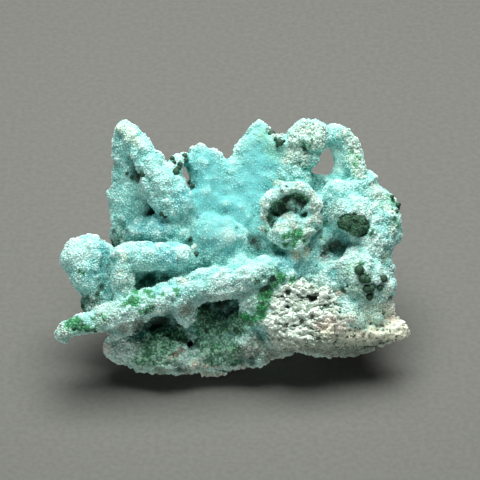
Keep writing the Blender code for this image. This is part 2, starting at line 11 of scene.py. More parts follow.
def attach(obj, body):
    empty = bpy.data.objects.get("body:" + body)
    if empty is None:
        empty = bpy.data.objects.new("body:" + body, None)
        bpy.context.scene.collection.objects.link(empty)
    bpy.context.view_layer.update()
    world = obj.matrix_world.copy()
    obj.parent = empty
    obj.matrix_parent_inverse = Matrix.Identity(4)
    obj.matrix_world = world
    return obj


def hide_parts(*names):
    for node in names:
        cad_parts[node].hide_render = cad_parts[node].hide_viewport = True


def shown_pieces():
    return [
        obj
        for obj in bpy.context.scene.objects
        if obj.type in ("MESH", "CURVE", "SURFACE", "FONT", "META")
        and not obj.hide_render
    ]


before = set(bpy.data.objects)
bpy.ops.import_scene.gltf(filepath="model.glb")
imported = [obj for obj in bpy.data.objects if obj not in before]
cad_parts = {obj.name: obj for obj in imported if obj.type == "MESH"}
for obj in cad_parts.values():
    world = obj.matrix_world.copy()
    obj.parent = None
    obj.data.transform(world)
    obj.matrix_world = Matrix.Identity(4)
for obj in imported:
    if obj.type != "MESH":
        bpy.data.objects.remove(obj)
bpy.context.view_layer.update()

mm = 0.001

# A place on the specimen is (across, rise) in mm on the leaning plane that its best side
# shows; the camera looks straight at that plane from the point below.
layout = {
    "leanDeg": 40.0,
    "middle": (0.37, 16.7),       # the middle of the footprint, mm
    "aim": (1.6, 27.6),           # where the camera looks, on the plane
    "cameraAway": 600.0,          # mm
    "lens": 225.0, "sensor": 36.0,
}


def place(across, rise, near=0.0):
    lean = math.radians(layout["leanDeg"])
    x = across - layout["middle"][0]
    y = rise * math.sin(lean) - near * math.cos(lean) - layout["middle"][1]
    z = rise * math.cos(lean) + near * math.sin(lean)
    return Vector((x, y, z)) * mm


eye = place(*layout["aim"], layout["cameraAway"])


def onPlane(points):    # (across, rise, near) of points in metres
    lean = math.radians(layout["leanDeg"])
    x, y, z = (points / mm).T
    back = y + layout["middle"][1]
    rise = back * math.sin(lean) + z * math.cos(lean)
    near = z * math.sin(lean) - back * math.cos(lean)
    return x + layout["middle"][0], rise, near


def smoothStep(low, high, value):
    t = np.clip((value - low) / (high - low), 0.0, 1.0)
    return t * t * (3.0 - 2.0 * t)


def linked(name, mesh):
    piece = bpy.data.objects.new(name, mesh)
    bpy.context.scene.collection.objects.link(piece)
    return piece


def evaluatedMesh(piece):
    graph = bpy.context.evaluated_depsgraph_get()
    return bpy.data.meshes.new_from_object(piece.evaluated_get(graph))


def applyModifiers(piece):
    piece.data = evaluatedMesh(piece)
    piece.modifiers.clear()


def cornersOf(mesh, what="co"):
    flat = np.empty(len(mesh.vertices) * 3, np.float32)
    mesh.vertices.foreach_get(what, flat)
    return flat.reshape(-1, 3).astype(float)


def setCorners(mesh, corners):
    mesh.vertices.foreach_set("co", corners.astype(np.float32).ravel())
    mesh.update()


def skinOf(nodeName, pieceName, voxel, rounds, fillers=()):    # an even, fine mesh over one solid
    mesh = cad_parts[nodeName].data.copy()
    shape = bmesh.new()
    shape.from_mesh(mesh)
    bmesh.ops.remove_doubles(shape, verts=shape.verts, dist=0.001 * mm)
    for across, rise, near, radius in fillers:
        bmesh.ops.create_icosphere(shape, subdivisions=3, radius=radius * mm,
                                   matrix=Matrix.Translation(place(across, rise, near)))
    shape.to_mesh(mesh)
    shape.free()
    piece = linked(pieceName, mesh)
    remesh = piece.modifiers.new("evenMesh", "REMESH")
    remesh.mode = "VOXEL"
    remesh.voxel_size = voxel * mm
    smooth = piece.modifiers.new("rounded", "SMOOTH")
    smooth.factor = 0.5
    smooth.iterations = rounds
    applyModifiers(piece)
    return piece


def noiseAt(corners, size, seed=0.0):    # smooth noise from -1 to 1, size in mm
    scale = 1.0 / (size * mm)
    return np.array([noise.noise(Vector(c) * scale + Vector((seed, -seed, seed))) for c in corners])


def wavesOn(corners, waves):    # each (size, height, seed), mm
    return sum(height * noiseAt(corners, size, seed) for size, height, seed in waves)


cobbleMean = 0.6


def cobblesAt(corners, size, seed=0.0):    # 0 between rounded lumps, 1 on top of them
    scale = 1.0 / (size * mm)
    away = np.array([noise.voronoi(Vector(c) * scale + Vector((seed, seed, -seed)))[0][0]
                     for c in corners])
    return np.sqrt(np.clip(1.0 - np.minimum(away / 0.75, 1.0) ** 2, 0.0, 1.0))


def gapsTo(tree, corners):    # mm to another skin, 2 at most
    reach = 2.0 * mm
    return np.array([tree.find_nearest(Vector(c), reach)[3] or reach for c in corners]) / mm


def pushOut(piece, heights):    # heights in mm along the normals
    mesh = piece.data
    normals = cornersOf(mesh, "normal")
    setCorners(mesh, cornersOf(mesh) + normals * (heights * mm)[:, None])


def bendOf(piece, rounds):    # how far each corner stands out of its smoothed surroundings, mm
    mesh = piece.data
    ends = np.empty(len(mesh.edges) * 2, np.int32)
    mesh.edges.foreach_get("vertices", ends)
    a, b = ends.reshape(-1, 2).T
    count = len(mesh.vertices)
    links = np.bincount(a, minlength=count) + np.bincount(b, minlength=count)
    start = cornersOf(mesh)
    now = start.copy()
    for _ in range(rounds):
        total = np.stack([np.bincount(a, now[b, k], count) + np.bincount(b, now[a, k], count)
                          for k in range(3)], axis=1)
        now = 0.5 * now + 0.5 * total / links[:, None]
    return ((start - now) * cornersOf(mesh, "normal")).sum(1) / mm


def treeOf(pieces):
    corners = []
    faces = []
    for piece in pieces:
        start = len(corners)
        corners += [v.co.copy() for v in piece.data.vertices]
        faces += [[start + i for i in p.vertices] for p in piece.data.polygons]
    return BVHTree.FromPolygons(corners, faces)


def seen(tree, across, rise):    # the point that shows at this place from the camera
    spot = place(across, rise)
    hit = tree.ray_cast(eye, (spot - eye).normalized())[0]
    return np.array(hit if hit is not None else tree.find_nearest(spot)[0])


def marked(corners, tree, marks, ragged, edge=0.35):
    # From 0 to 1 inside the marks, each (across, rise, radius), with ragged edges.
    weight = np.zeros(len(corners))
    for across, rise, radius in marks:
        middle = seen(tree, across, rise)
        away = np.linalg.norm(corners - middle, axis=1) / (radius * mm) + ragged
        weight = np.maximum(weight, smoothStep(1.0 + edge, 1.0 - edge, away))
    return weight


def setAttribute(piece, name, values):
    kind = "FLOAT" if values.ndim == 1 else "FLOAT_VECTOR"
    made = piece.data.attributes.new(name, kind, "POINT")
    made.data.foreach_set("value" if values.ndim == 1 else "vector", values.astype(np.float32).ravel())


# Where each mineral shows, and where shade or a highlight is painted: (across, rise, radius), mm.
marks = {
    "emerald": [    # bright green malachite tufts
        (-32.4, 11.4, 1.2), (-31.2, 10.8, 1.5), (-29.8, 10.3, 1.1), (-32.6, 10.6, 1.1), (-28.4, 9.5, 0.6),
        (-20.2, 15.4, 1.2), (-21.4, 15.0, 0.9), (-19.2, 15.6, 0.8), (-16.6, 17.2, 0.9),
        (-15.8, 16.2, 0.6), (-13.9, 16.8, 0.5), (-11.3, 17.6, 0.7), (-11.0, 16.7, 0.5),
        (-25.5, 11.9, 0.5), (-26.0, 12.8, 0.4), (-27.9, 11.9, 0.4), (-18.3, 13.2, 0.4),
        (-30.4, 21.4, 0.6), (-29.8, 21.0, 0.5), (-19.2, 17.2, 0.6), (6.7, 15.9, 1.4), (5.9, 14.3, 1.1),
        (7.4, 17.4, 1.0), (8.7, 18.6, 0.7), (9.8, 20.0, 1.0), (12.0, 19.5, 0.8), (2.8, 12.4, 1.0),
        (4.4, 12.0, 0.9), (6.0, 12.4, 0.9), (13.3, 28.7, 1.2), (10.5, 28.2, 1.0), (10.8, 26.7, 0.8),
        (12.3, 26.4, 0.6), (8.7, 26.6, 0.4), (14.6, 46.8, 0.6), (15.4, 46.5, 0.4), (24.9, 44.3, 0.5),
        (24.4, 42.9, 0.5), (25.0, 42.3, 0.4), (23.9, 45.2, 0.5), (30.9, 37.5, 0.5), (32.3, 35.5, 0.6),
        (32.5, 31.6, 0.5), (33.4, 30.6, 0.4), (26.6, 20.4, 0.5), (25.8, 22.9, 0.4), (28.1, 29.5, 0.4),
        (27.6, 28.8, 0.35), (24.9, 32.6, 0.4), (-19.0, 17.4, 0.8), (-17.4, 17.6, 0.5), (12.9, 27.4, 0.7),
        (11.4, 28.9, 0.5), (14.4, 27.4, 0.5), (17.8, 28.2, 0.4), (18.6, 27.6, 0.3), (15.8, 25.6, 0.3),
        (24.2, 41.0, 0.4), (25.6, 44.0, 0.35), (15.9, 47.4, 0.35),
    ],
    "moss": [       # dark green, in the caverns and vugs
        (-13.4, 8.2, 3.2), (-16.4, 5.6, 2.8), (-18.2, 3.6, 1.8), (-13.8, 4.6, 2.2), (-11.0, 8.6, 2.2),
        (-5.4, 10.6, 3.0), (-2.4, 9.4, 3.0), (-6.6, 13.6, 2.0), (0.6, 11.6, 2.4), (-0.4, 6.6, 2.4),
        (-3.4, 3.8, 2.2), (0.0, 3.4, 1.6), (-4.6, 6.6, 2.6), (1.6, 9.6, 1.6), (-26.8, 16.7, 0.6),
        (-29.8, 14.5, 0.6), (-27.3, 9.7, 0.7), (-21.2, 16.4, 0.5), (-22.2, 14.4, 0.4), (-16.2, 13.9, 0.9),
        (-17.0, 13.4, 0.6), (-18.2, 19.0, 0.9), (5.2, 19.4, 0.9), (6.2, 20.2, 0.5), (3.6, 11.0, 0.9),
        (5.2, 10.6, 0.7), (7.1, 29.4, 0.5), (18.8, 31.0, 0.5), (18.5, 30.3, 0.4), (9.6, 34.6, 2.4),
        (7.8, 33.0, 1.5), (8.0, 31.6, 0.9), (10.9, 33.4, 1.3), (12.8, 35.8, 1.6), (14.4, 36.2, 1.2),
        (14.6, 32.3, 0.8), (31.4, 36.4, 0.7), (33.2, 34.8, 0.6), (34.0, 29.2, 0.5), (22.3, 49.7, 0.6),
        (23.2, 49.1, 0.5), (16.2, 50.8, 0.4), (15.0, 51.0, 0.3), (28.2, 29.8, 0.4), (27.8, 28.9, 0.4),
        (33.8, 27.1, 0.4), (22.0, 17.6, 0.7), (0.9, 30.0, 0.4), (-23.7, 29.5, 0.5), (-22.7, 27.6, 0.5),
        (-24.2, 27.8, 0.5),
    ],
    "dark": [       # nearly black malachite, and painted shade in the deep holes and caverns
        (-19.4, 42.2, 0.3), (-13.4, 32.4, 0.6), (-14.2, 33.0, 0.4), (-6.9, 32.1, 0.25),
        (-0.8, 35.1, 0.22), (-8.3, 27.7, 0.35), (-7.1, 24.9, 0.4), (-23.8, 26.8, 0.8), (14.4, 45.9, 0.7),
        (13.7, 46.1, 0.5), (14.8, 45.0, 0.3), (34.3, 34.3, 0.7), (34.0, 32.8, 0.5), (30.0, 33.9, 0.22),
        (9.9, 37.5, 0.45), (11.0, 38.2, 0.4), (6.9, 35.5, 0.35), (14.6, 32.3, 0.7), (12.6, 33.7, 0.5),
        (9.4, 35.2, 0.4), (13.4, 35.4, 0.5), (8.2, 33.0, 0.6), (-7.9, 6.7, 0.9), (-7.2, 7.4, 0.5),
        (20.0, 26.2, 1.0), (19.0, 25.6, 0.8), (21.2, 26.8, 0.9), (9.8, 34.0, 1.0), (18.2, 24.8, 0.6),
        (22.4, 26.2, 0.6), (7.4, 31.6, 0.7), (14.2, 34.6, 0.7), (10.9, 35.8, 0.7), (8.0, 30.4, 0.6),
        (12.8, 33.2, 0.5), (13.8, 33.3, 0.5), (9.0, 32.6, 0.8), (8.6, 29.8, 0.4), (-13.6, 11.4, 1.1),
        (-15.2, 11.0, 0.9), (-17.6, 9.8, 1.0), (-19.0, 9.2, 0.7), (-0.8, 15.2, 1.0), (-0.4, 13.6, 1.0),
        (-2.6, 14.6, 1.0), (-4.8, 14.2, 0.8), (9.6, 38.6, 0.35), (12.9, 37.9, 0.3), (14.6, 7.6, 0.3),
        (17.6, 7.4, 0.35), (20.6, 7.2, 0.35), (22.6, 6.8, 0.35), (24.6, 6.4, 0.4), (26.6, 6.1, 0.4),
        (28.0, 6.2, 0.45), (29.6, 6.9, 0.4), (31.2, 7.4, 0.35), (32.8, 7.6, 0.3), (27.2, 6.3, 0.4),
        (30.4, 7.1, 0.3), (30.2, 10.5, 0.3), (23.6, 9.6, 0.28), (24.6, 10.1, 0.28), (25.6, 9.8, 0.28),
        (23.0, 8.2, 0.3), (21.0, 8.4, 0.3), (29.0, 9.6, 0.28), (27.6, 10.8, 0.28), (24.6, 8.4, 0.3),
        (31.6, 10.8, 0.28), (26.4, 7.4, 0.3), (28.0, 8.0, 0.28), (8.2, 19.9, 0.7), (6.9, 18.2, 0.6),
        (6.0, 17.6, 0.4), (-14.6, 10.4, 0.6), (-3.4, 12.0, 0.5), (-0.6, 14.6, 0.6), (0.4, 9.8, 0.4),
        (-5.2, 9.4, 0.35), (-2.2, 8.2, 0.35), (1.8, 8.8, 0.4), (-12.4, 6.6, 0.3), (-16.2, 7.6, 0.3),
        (16.3, 16.0, 0.9), (15.3, 16.2, 0.6), (11.0, 17.2, 0.7), (11.0, 14.2, 0.65), (14.0, 11.3, 0.6),
        (16.4, 12.4, 0.5), (11.0, 10.8, 0.4), (-31.4, 9.7, 0.4), (-30.0, 10.6, 0.35), (-29.0, 9.5, 0.5),
        (-27.4, 9.3, 0.5), (-20.4, 15.0, 0.35), (-15.6, 16.8, 0.35), (4.4, 27.4, 0.6), (6.2, 15.0, 0.4),
        (22.3, 17.7, 0.5), (23.0, 18.3, 0.4), (9.4, 13.0, 0.25), (12.9, 13.0, 0.25), (17.6, 14.6, 0.3),
    ],
    "mint": [       # soft green where malachite shows through
        (12.4, 37.4, 1.5), (6.6, 16.4, 2.2), (9.0, 19.6, 1.8), (8.4, 21.4, 1.2), (5.0, 13.4, 1.8),
        (24.8, 21.6, 2.0), (25.6, 17.6, 1.6), (31.4, 34.6, 1.8), (32.4, 31.0, 1.6), (24.6, 44.8, 1.8),
        (25.2, 41.6, 1.6), (9.2, 38.4, 1.2), (12.6, 28.0, 3.0), (7.2, 30.0, 1.4), (-11.6, 8.0, 2.2),
        (8.4, 45.6, 2.0), (6.4, 48.6, 1.4), (16.4, 47.2, 2.2), (-18.6, 16.2, 1.6), (-26.4, 11.6, 1.6),
        (3.0, 11.0, 1.8),
    ],
    "brownShade": [      # painted shade, a warm dark grey, under the finger and the ledge and on the low front
        (-2.6, 15.4, 1.4), (-6.0, 14.6, 1.2), (-12.6, 13.2, 1.2), (-21.6, 9.6, 1.4), (-24.8, 9.2, 1.2),
        (-18.4, 10.6, 1.4), (-15.4, 12.2, 1.2), (-9.2, 13.6, 1.4), (15.9, 17.6, 0.7), (22.6, 17.2, 0.8),
        (-14.0, 1.4, 1.4), (4.6, 5.6, 2.6), (8.0, 5.0, 2.2), (11.6, 5.8, 2.2), (14.6, 6.0, 1.9),
        (17.0, 5.8, 1.9), (19.6, 5.4, 1.9), (22.2, 5.2, 1.9), (24.8, 5.2, 1.8), (27.2, 6.0, 1.5),
        (29.6, 6.8, 1.0), (1.6, 5.2, 2.0), (17.0, 4.2, 1.6), (21.0, 3.8, 1.6), (-9.2, 1.4, 1.0),
        (-26.0, 27.6, 0.6),
    ],
    "snow": [       # the whitest tops: partly white crust, partly a painted highlight, and painted light in the shaded arch
        (-10.0, 25.6, 1.4), (-9.6, 19.2, 1.2), (-2.0, 19.4, 1.8), (-22.4, 10.8, 1.6), (-6.2, 11.8, 1.2),
        (28.4, 27.0, 1.8), (29.8, 24.2, 1.4), (23.6, 25.2, 1.4), (-33.0, 26.0, 1.6), (-21.0, 27.2, 1.4),
        (-15.0, 28.4, 1.2), (4.2, 21.6, 1.8), (18.6, 24.0, 1.4), (-6.4, 48.4, 1.2), (-19.4, 28.6, 1.0),
        (30.2, 19.4, 1.4), (-12.6, 42.6, 1.2), (-24.0, 42.0, 1.2), (9.6, 14.6, 2.4), (12.6, 15.8, 2.2),
        (12.0, 12.4, 2.4), (15.6, 14.2, 2.2), (9.0, 11.4, 1.8), (18.4, 15.6, 2.0), (13.4, 9.6, 2.2),
        (17.0, 12.0, 1.8), (31.8, 18.6, 1.8), (32.0, 21.0, 1.6), (33.6, 10.2, 1.6), (31.4, 11.0, 1.6),
        (20.6, 45.2, 1.5), (21.0, 42.4, 1.5), (-24.8, 4.4, 1.6), (-23.4, 2.8, 1.2), (-21.0, 5.8, 1.9),
        (-19.4, 4.6, 1.2), (27.4, 11.8, 1.6), (-22.8, 7.0, 1.3), (-22.0, 4.2, 1.4), (-30.4, 24.6, 2.4),
        (-31.8, 27.0, 2.0), (13.8, 17.6, 1.8), (24.4, 36.2, 0.9), (1.6, 20.6, 1.4), (-0.6, 28.6, 1.6),
        (-27.6, 14.8, 1.2),
    ],
    "deep": [       # painted shade, dark blue-green, in the caverns and hollows
        (-13.4, 10.8, 2.7), (-16.2, 11.2, 2.2), (-10.8, 11.2, 1.8), (-18.8, 9.4, 1.4), (-2.4, 12.8, 3.2),
        (-4.8, 13.6, 2.2), (0.4, 13.4, 2.2), (-1.4, 15.6, 1.6), (1.6, 9.4, 1.4), (-16.4, 20.0, 1.0),
        (-13.4, 20.2, 0.8), (20.2, 26.4, 2.3), (19.0, 25.4, 1.4), (22.4, 25.8, 1.2), (4.2, 27.6, 1.6),
        (5.0, 26.2, 1.0), (7.6, 19.4, 1.0), (-10.4, 1.8, 1.0), (1.4, 3.6, 1.6), (17.6, 29.6, 0.9),
        (17.9, 33.6, 0.7), (-26.2, 18.2, 0.9), (3.8, 3.2, 1.2), (10.2, 34.4, 1.8), (13.4, 35.8, 1.2),
        (-18.8, 40.7, 1.5), (-16.2, 32.8, 1.4),
    ],
    "smooth": [     # waxy faces with hardly any grains
        (-5.4, 41.6, 3.8), (-4.4, 37.0, 4.6), (-2.0, 33.6, 4.6), (1.0, 35.0, 4.6), (4.0, 38.4, 4.4),
        (5.4, 42.4, 4.2), (5.4, 46.4, 3.4), (5.6, 49.6, 2.2), (-2.4, 29.6, 4.0), (2.0, 31.0, 3.0),
        (-7.6, 33.4, 2.2), (-6.2, 28.0, 2.6), (20.6, 45.4, 1.8), (21.0, 42.2, 1.8),
    ],
    "pink": [       # pinkish white rock
        (17.6, 10.6, 1.5), (19.6, 11.4, 1.6), (21.4, 10.2, 1.4), (23.4, 11.6, 1.2), (-7.4, 2.6, 1.0),
        (-5.2, 2.2, 1.0), (-3.2, 2.4, 0.8), (31.8, 14.4, 1.6), (32.0, 12.4, 1.4), (-25.2, 6.0, 1.2),
    ],
    "pale": [       # white crust
        (16.2, 36.6, 1.2), (16.9, 34.2, 1.3), (17.0, 31.8, 1.4), (15.4, 29.6, 1.3), (12.6, 30.6, 1.2),
        (9.6, 29.8, 1.0), (13.4, 38.8, 1.0), (9.6, 38.9, 0.9), (7.4, 37.0, 0.9), (6.4, 34.8, 0.8),
        (5.9, 32.0, 0.8), (6.2, 29.8, 0.7), (14.6, 49.6, 2.0), (17.2, 49.4, 2.0), (12.6, 47.6, 1.6),
        (16.4, 46.6, 1.5), (12.2, 45.2, 1.6), (14.0, 43.6, 1.6), (17.6, 47.0, 1.3), (11.0, 43.6, 1.0),
        (22.6, 49.2, 1.2), (24.0, 47.6, 1.4), (24.8, 45.6, 1.5), (25.2, 43.4, 1.5), (25.6, 41.2, 1.4),
        (28.6, 38.4, 1.0), (29.6, 36.8, 1.2), (31.6, 33.6, 1.4), (32.6, 29.6, 1.2), (7.6, 49.4, 0.7),
        (8.8, 48.8, 0.8), (9.9, 48.7, 0.6), (-10.6, 43.6, 0.45), (-8.5, 39.7, 0.8), (-9.6, 19.6, 1.0),
        (-34.4, 10.2, 1.0), (-33.8, 8.8, 1.0), (-7.7, 26.2, 0.7), (12.6, 25.2, 0.9), (14.8, 26.4, 0.9),
        (11.6, 34.4, 0.45), (12.4, 33.6, 0.5), (10.6, 32.4, 0.8), (11.9, 32.3, 0.7), (13.4, 34.2, 0.45),
        (9.4, 37.3, 0.5), (11.6, 37.2, 0.5), (9.4, 35.4, 0.25), (13.4, 37.2, 0.3), (12.2, 35.2, 0.4),
        (12.0, 36.0, 0.35),
    ],
    "vivid": [      # the bluest chrysocolla
        (-5.4, 42.0, 4.0), (-4.0, 37.0, 5.6), (0.0, 33.0, 5.0), (-1.6, 29.4, 4.4), (4.0, 38.0, 5.0),
        (-8.6, 36.0, 3.0), (-16.0, 30.4, 4.0), (-12.0, 24.6, 3.0), (-26.6, 22.4, 2.6), (-26.0, 25.8, 2.0),
        (10.6, 23.4, 2.0), (-19.6, 30.2, 2.0), (6.4, 43.6, 3.4), (-19.6, 29.6, 2.2),
    ],
    "teal": [       # painted shade, a deeper teal, in the valleys, grooves and hollows
        (13.6, 22.0, 1.9), (15.8, 22.0, 1.5), (-17.4, 31.6, 0.9), (-20.8, 31.6, 2.2), (-18.4, 32.0, 1.8),
        (-26.4, 23.2, 1.4), (-26.0, 19.6, 1.3), (-8.4, 21.6, 1.2), (-6.4, 23.2, 1.5), (-5.4, 24.8, 0.8),
        (-3.6, 24.0, 1.0), (-16.4, 20.4, 1.6), (-14.4, 20.4, 1.5), (-12.4, 20.8, 1.3), (4.4, 27.4, 1.5),
        (20.2, 26.2, 2.2), (22.4, 26.4, 1.6), (18.4, 25.4, 1.4), (20.0, 20.6, 1.2), (17.6, 39.4, 1.0),
        (-19.2, 36.0, 0.9), (19.4, 35.6, 1.5), (19.8, 37.6, 1.2),
    ],
    "grey": [       # greyer, with clear quartz on top
        (23.0, 22.4, 4.4), (26.0, 18.4, 5.4), (29.6, 14.6, 4.0), (19.0, 19.0, 3.0), (-24.8, 13.4, 3.4),
        (-19.4, 11.4, 3.0), (-3.2, 16.0, 3.0), (-8.8, 13.4, 2.8), (3.4, 15.4, 3.4), (-20.6, 19.0, 2.6),
        (-14.0, 14.0, 2.6), (-22.0, 28.0, 2.6), (-27.8, 15.0, 2.4), (30.4, 20.4, 2.4), (1.4, 17.6, 2.0),
        (15.4, 48.8, 3.6), (12.4, 44.6, 2.4), (24.8, 44.8, 2.6), (26.6, 33.4, 2.6), (20.4, 33.6, 2.4),
        (28.8, 36.0, 2.4), (28.6, 26.4, 2.4), (26.4, 12.6, 2.4),
    ],
    "rust": [
        (-10.3, 5.6, 0.6), (-11.3, 4.6, 0.5), (-9.2, 7.4, 0.4), (-12.3, 4.0, 0.35), (6.4, 33.2, 0.4),
        (7.1, 32.3, 0.4), (8.0, 30.7, 0.4), (21.4, 17.0, 0.5), (16.0, 12.4, 0.5), (26.3, 8.6, 0.5),
        (20.0, 13.4, 0.4),
    ],
    "cream": [
        (34.0, 9.4, 2.0), (31.8, 13.0, 1.5), (31.6, 8.4, 2.0), (28.4, 8.6, 2.0), (24.4, 9.0, 1.8),
        (-7.5, 3.0, 0.9), (-5.2, 2.5, 0.8), (-20.4, 49.8, 1.6), (-19.0, 47.6, 1.1), (-20.6, 48.2, 1.0),
        (-22.6, 50.0, 1.2), (19.4, 9.4, 1.8), (-21.6, 24.2, 0.8), (-22.4, 21.0, 0.7), (30.8, 24.4, 1.0),
        (31.2, 17.4, 1.0), (24.4, 48.4, 0.8), (14.6, 24.8, 0.8), (-29.8, 13.6, 1.0), (27.6, 12.2, 2.6),
        (31.0, 12.0, 2.2), (24.0, 12.0, 1.8), (-22.6, 51.0, 1.0), (12.8, 24.6, 1.0), (29.6, 13.6, 1.8),
        (32.0, 15.6, 1.2), (-25.6, 5.4, 1.2),
    ],
}
# relief: a painted highlight on crests (edge), painted shade in creases and hollows (hollow), and the
# greyer foot, partly painted shade (base)
attributes = {
    "minerals": ("emerald", "moss", "dark"), "crusts": ("pale", "cream", "rust"),
    "waters": ("vivid", "teal", "grey"), "relief": ("edge", "hollow", "base"),
    "shades": ("deep", "smooth", "pink"), "tints": ("mint", "brownShade", "snow"),
}
softKinds = ("vivid", "teal", "grey", "deep", "smooth", "pink", "cream", "mint", "brownShade", "snow")


borders = {      # how the marks end, sizes in mm
    "ragged": [(2.3, 0.5, 6.0), (0.9, 0.4, 3.0), (0.4, 0.35, 8.0)],    # size, share, seed
    "softShare": 0.5, "softEdge": 0.6, "hardEdge": 0.25,
    "whiteOver": 0.9,                      # how far the white crust hides what is dark
    "shadeSize": 1.9, "shadeFrom": (0.0, 0.4), "shade": 0.8,         # random darker patches among the moss, put into the deep field
    "tuftSize": 1.5, "tuftFrom": (-0.3, 0.15), "tuftLeast": 0.62,    # the moss comes and goes
    "base": (13.0, 5.0), "baseSize": 5.0, "baseWave": 2.0,           # the greyer foot, partly its own colour and partly painted shade low down; rise in mm
    "ridge": (0.05, 0.45), "crest": (0.3, 1.6), "crestShare": 0.8,    # how far edges stand out for the painted highlight on crests, mm
    # how far grooves and dips sink for the painted shade in hollows, mm
    "groove": (-0.05, -0.45), "dip": (-0.1, -1.0), "wider": 6,
}


def describe(piece, tree, rounds):    # writes what the materials read, each from 0 to 1
    corners = cornersOf(piece.data)
    ragged = wavesOn(corners, borders["ragged"])
    softly = borders["softShare"] * ragged
    found = {}
    for kind, rows in marks.items():
        if kind in softKinds:
            found[kind] = marked(corners, tree, rows, softly, borders["softEdge"])
        else:
            found[kind] = marked(corners, tree, rows, ragged, borders["hardEdge"])
    bare = 1.0 - borders["whiteOver"] * found["pale"]
    found["dark"] *= bare
    shade = smoothStep(*borders["shadeFrom"], noiseAt(corners, borders["shadeSize"], 15.0))
    found["deep"] = np.maximum(found["deep"], borders["shade"] * shade * found["moss"])
    tufts = smoothStep(*borders["tuftFrom"], noiseAt(corners, borders["tuftSize"], 12.0))
    found["moss"] *= borders["tuftLeast"] + (1.0 - borders["tuftLeast"]) * tufts
    found["moss"] *= bare
    # greyer towards the foot: partly its own colour, partly painted shade
    wave = borders["baseWave"] * noiseAt(corners, borders["baseSize"], 1.0)
    found["base"] = smoothStep(*borders["base"], onPlane(corners)[1] + wave)
    # crests get a painted highlight, creases and hollows painted shade, from how far each corner stands out
    # or sinks
    near = bendOf(piece, rounds)
    far = bendOf(piece, borders["wider"] * rounds)
    crest = borders["crestShare"] * smoothStep(*borders["crest"], far)
    found["edge"] = np.maximum(smoothStep(*borders["ridge"], near), crest)
    found["hollow"] = np.maximum(smoothStep(*borders["groove"], near), smoothStep(*borders["dip"], far))
    for name, kinds in attributes.items():
        setAttribute(piece, name, np.stack([found[kind] for kind in kinds], 1))
    return found


def hexColour(text):    # sRGB hex to linear
    parts = [int(text[i:i + 2], 16) / 255 for i in (1, 3, 5)]
    return tuple(c / 12.92 if c <= 0.04045 else ((c + 0.055) / 1.055) ** 2.4 for c in parts) + (1.0,)


def setInputs(tree, node, values):    # a socket is linked, anything else is set
    for name, value in values.items():
        if isinstance(value, bpy.types.NodeSocket):
            tree.links.new(value, node.inputs[name])
        else:
            node.inputs[name].default_value = value


def addNode(tree, kind, values=None, **settings):
    node = tree.nodes.new(kind)
    for name, value in settings.items():
        setattr(node, name, value)
    setInputs(tree, node, values or {})
    return node


def newMaterial(name):
    material = bpy.data.materials.new(name)
    material.use_nodes = True
    tree = material.node_tree
    return material, tree, tree.nodes["Principled BSDF"]


def laidOver(tree, colour, tone, where, strength=1.0):    # the tone on the colour, where it grows
    weight = addNode(tree, "ShaderNodeMath", {0: where, 1: strength}, operation="MULTIPLY").outputs[0]
    top = hexColour(tone) if isinstance(tone, str) else tone
    return addNode(tree, "ShaderNodeMix", {0: weight, 6: colour, 7: top}, data_type="RGBA").outputs[2]


def mottling(tree, spot, size, low=0.35, high=0.65):    # 0 to 1, size in mm
    cloud = addNode(tree, "ShaderNodeTexNoise", {"Vector": spot, "Scale": 1.0 / (size * mm), "Detail": 3.0})
    return addNode(tree, "ShaderNodeMapRange", {0: cloud.outputs[0], 1: low, 2: high}).outputs[0]


def readFields(tree):    # the sockets of the attributes, by kind
    fields = {}
    for name, kinds in attributes.items():
        read = addNode(tree, "ShaderNodeAttribute", attribute_name=name).outputs["Vector"]
        parts = addNode(tree, "ShaderNodeSeparateXYZ", {0: read}).outputs
        fields.update({kind: parts[i] for i, kind in enumerate(kinds)})
    return fields


layers = {       # how strongly each colour covers the ones before it
    "patchSize": 2.4,                # mm
    # teal and hollow lay painted shade, edge a painted highlight, base a greyer foot that is partly painted
    # shade
    "under": {"vivid": 0.85, "smooth": 0.5, "grey": 0.85, "base": 0.9, "teal": 0.85, "mint": 0.5,
              "hollow": 0.75, "edge": 0.6},
    "mottles": [                     # sizes in mm
        ("speckle", 0.5, 0.35, 0.65, 0.3), ("teal", 1.2, 0.52, 0.72, 0.4),
        ("deep", 0.7, 0.64, 0.72, 0.55),
    ],
    # deep lays painted shade, as does the warm dark grey under things; snow is partly a painted highlight;
    # dark is partly painted shade in holes
    "over": {"snow": 0.5, "pale": 0.85, "cream": 0.8, "pink": 0.6, "brownShade": 0.7, "deep": 0.9,
             "moss": 0.9, "emerald": 0.95, "rust": 0.8, "dark": 0.95},
}


def mottled(tree, spot, colour, tones, mottles):    # tone, size, the noise from and to, strength
    for kind, size, low, high, strength in mottles:
        colour = laidOver(tree, colour, tones[kind], mottling(tree, spot, size, low, high), strength)
    return colour


def mineralAndShadeColours(tree, tones):    # one colour over another, the rarest on top, painted shade and highlights among them
    spot = addNode(tree, "ShaderNodeTexCoord").outputs["Object"]
    fields = readFields(tree)
    patch = mottling(tree, spot, layers["patchSize"])
    colour = laidOver(tree, hexColour(tones["sea"]), tones["pastel"], patch)
    for kind, strength in layers["under"].items():
        colour = laidOver(tree, colour, tones[kind], fields[kind], strength)
    colour = mottled(tree, spot, colour, tones, layers["mottles"])
    for kind, strength in layers["over"].items():
        colour = laidOver(tree, colour, tones[kind], fields[kind], strength)
    return colour, spot


def gritty(tree, spot, size, deep, strength):    # fine grit in the shading, sizes in mm
    bumps = mottling(tree, spot, size, 0.2, 0.8)
    return addNode(tree, "ShaderNodeBump", {
        "Height": bumps, "Distance": deep * mm, "Strength": strength}).outputs[0]


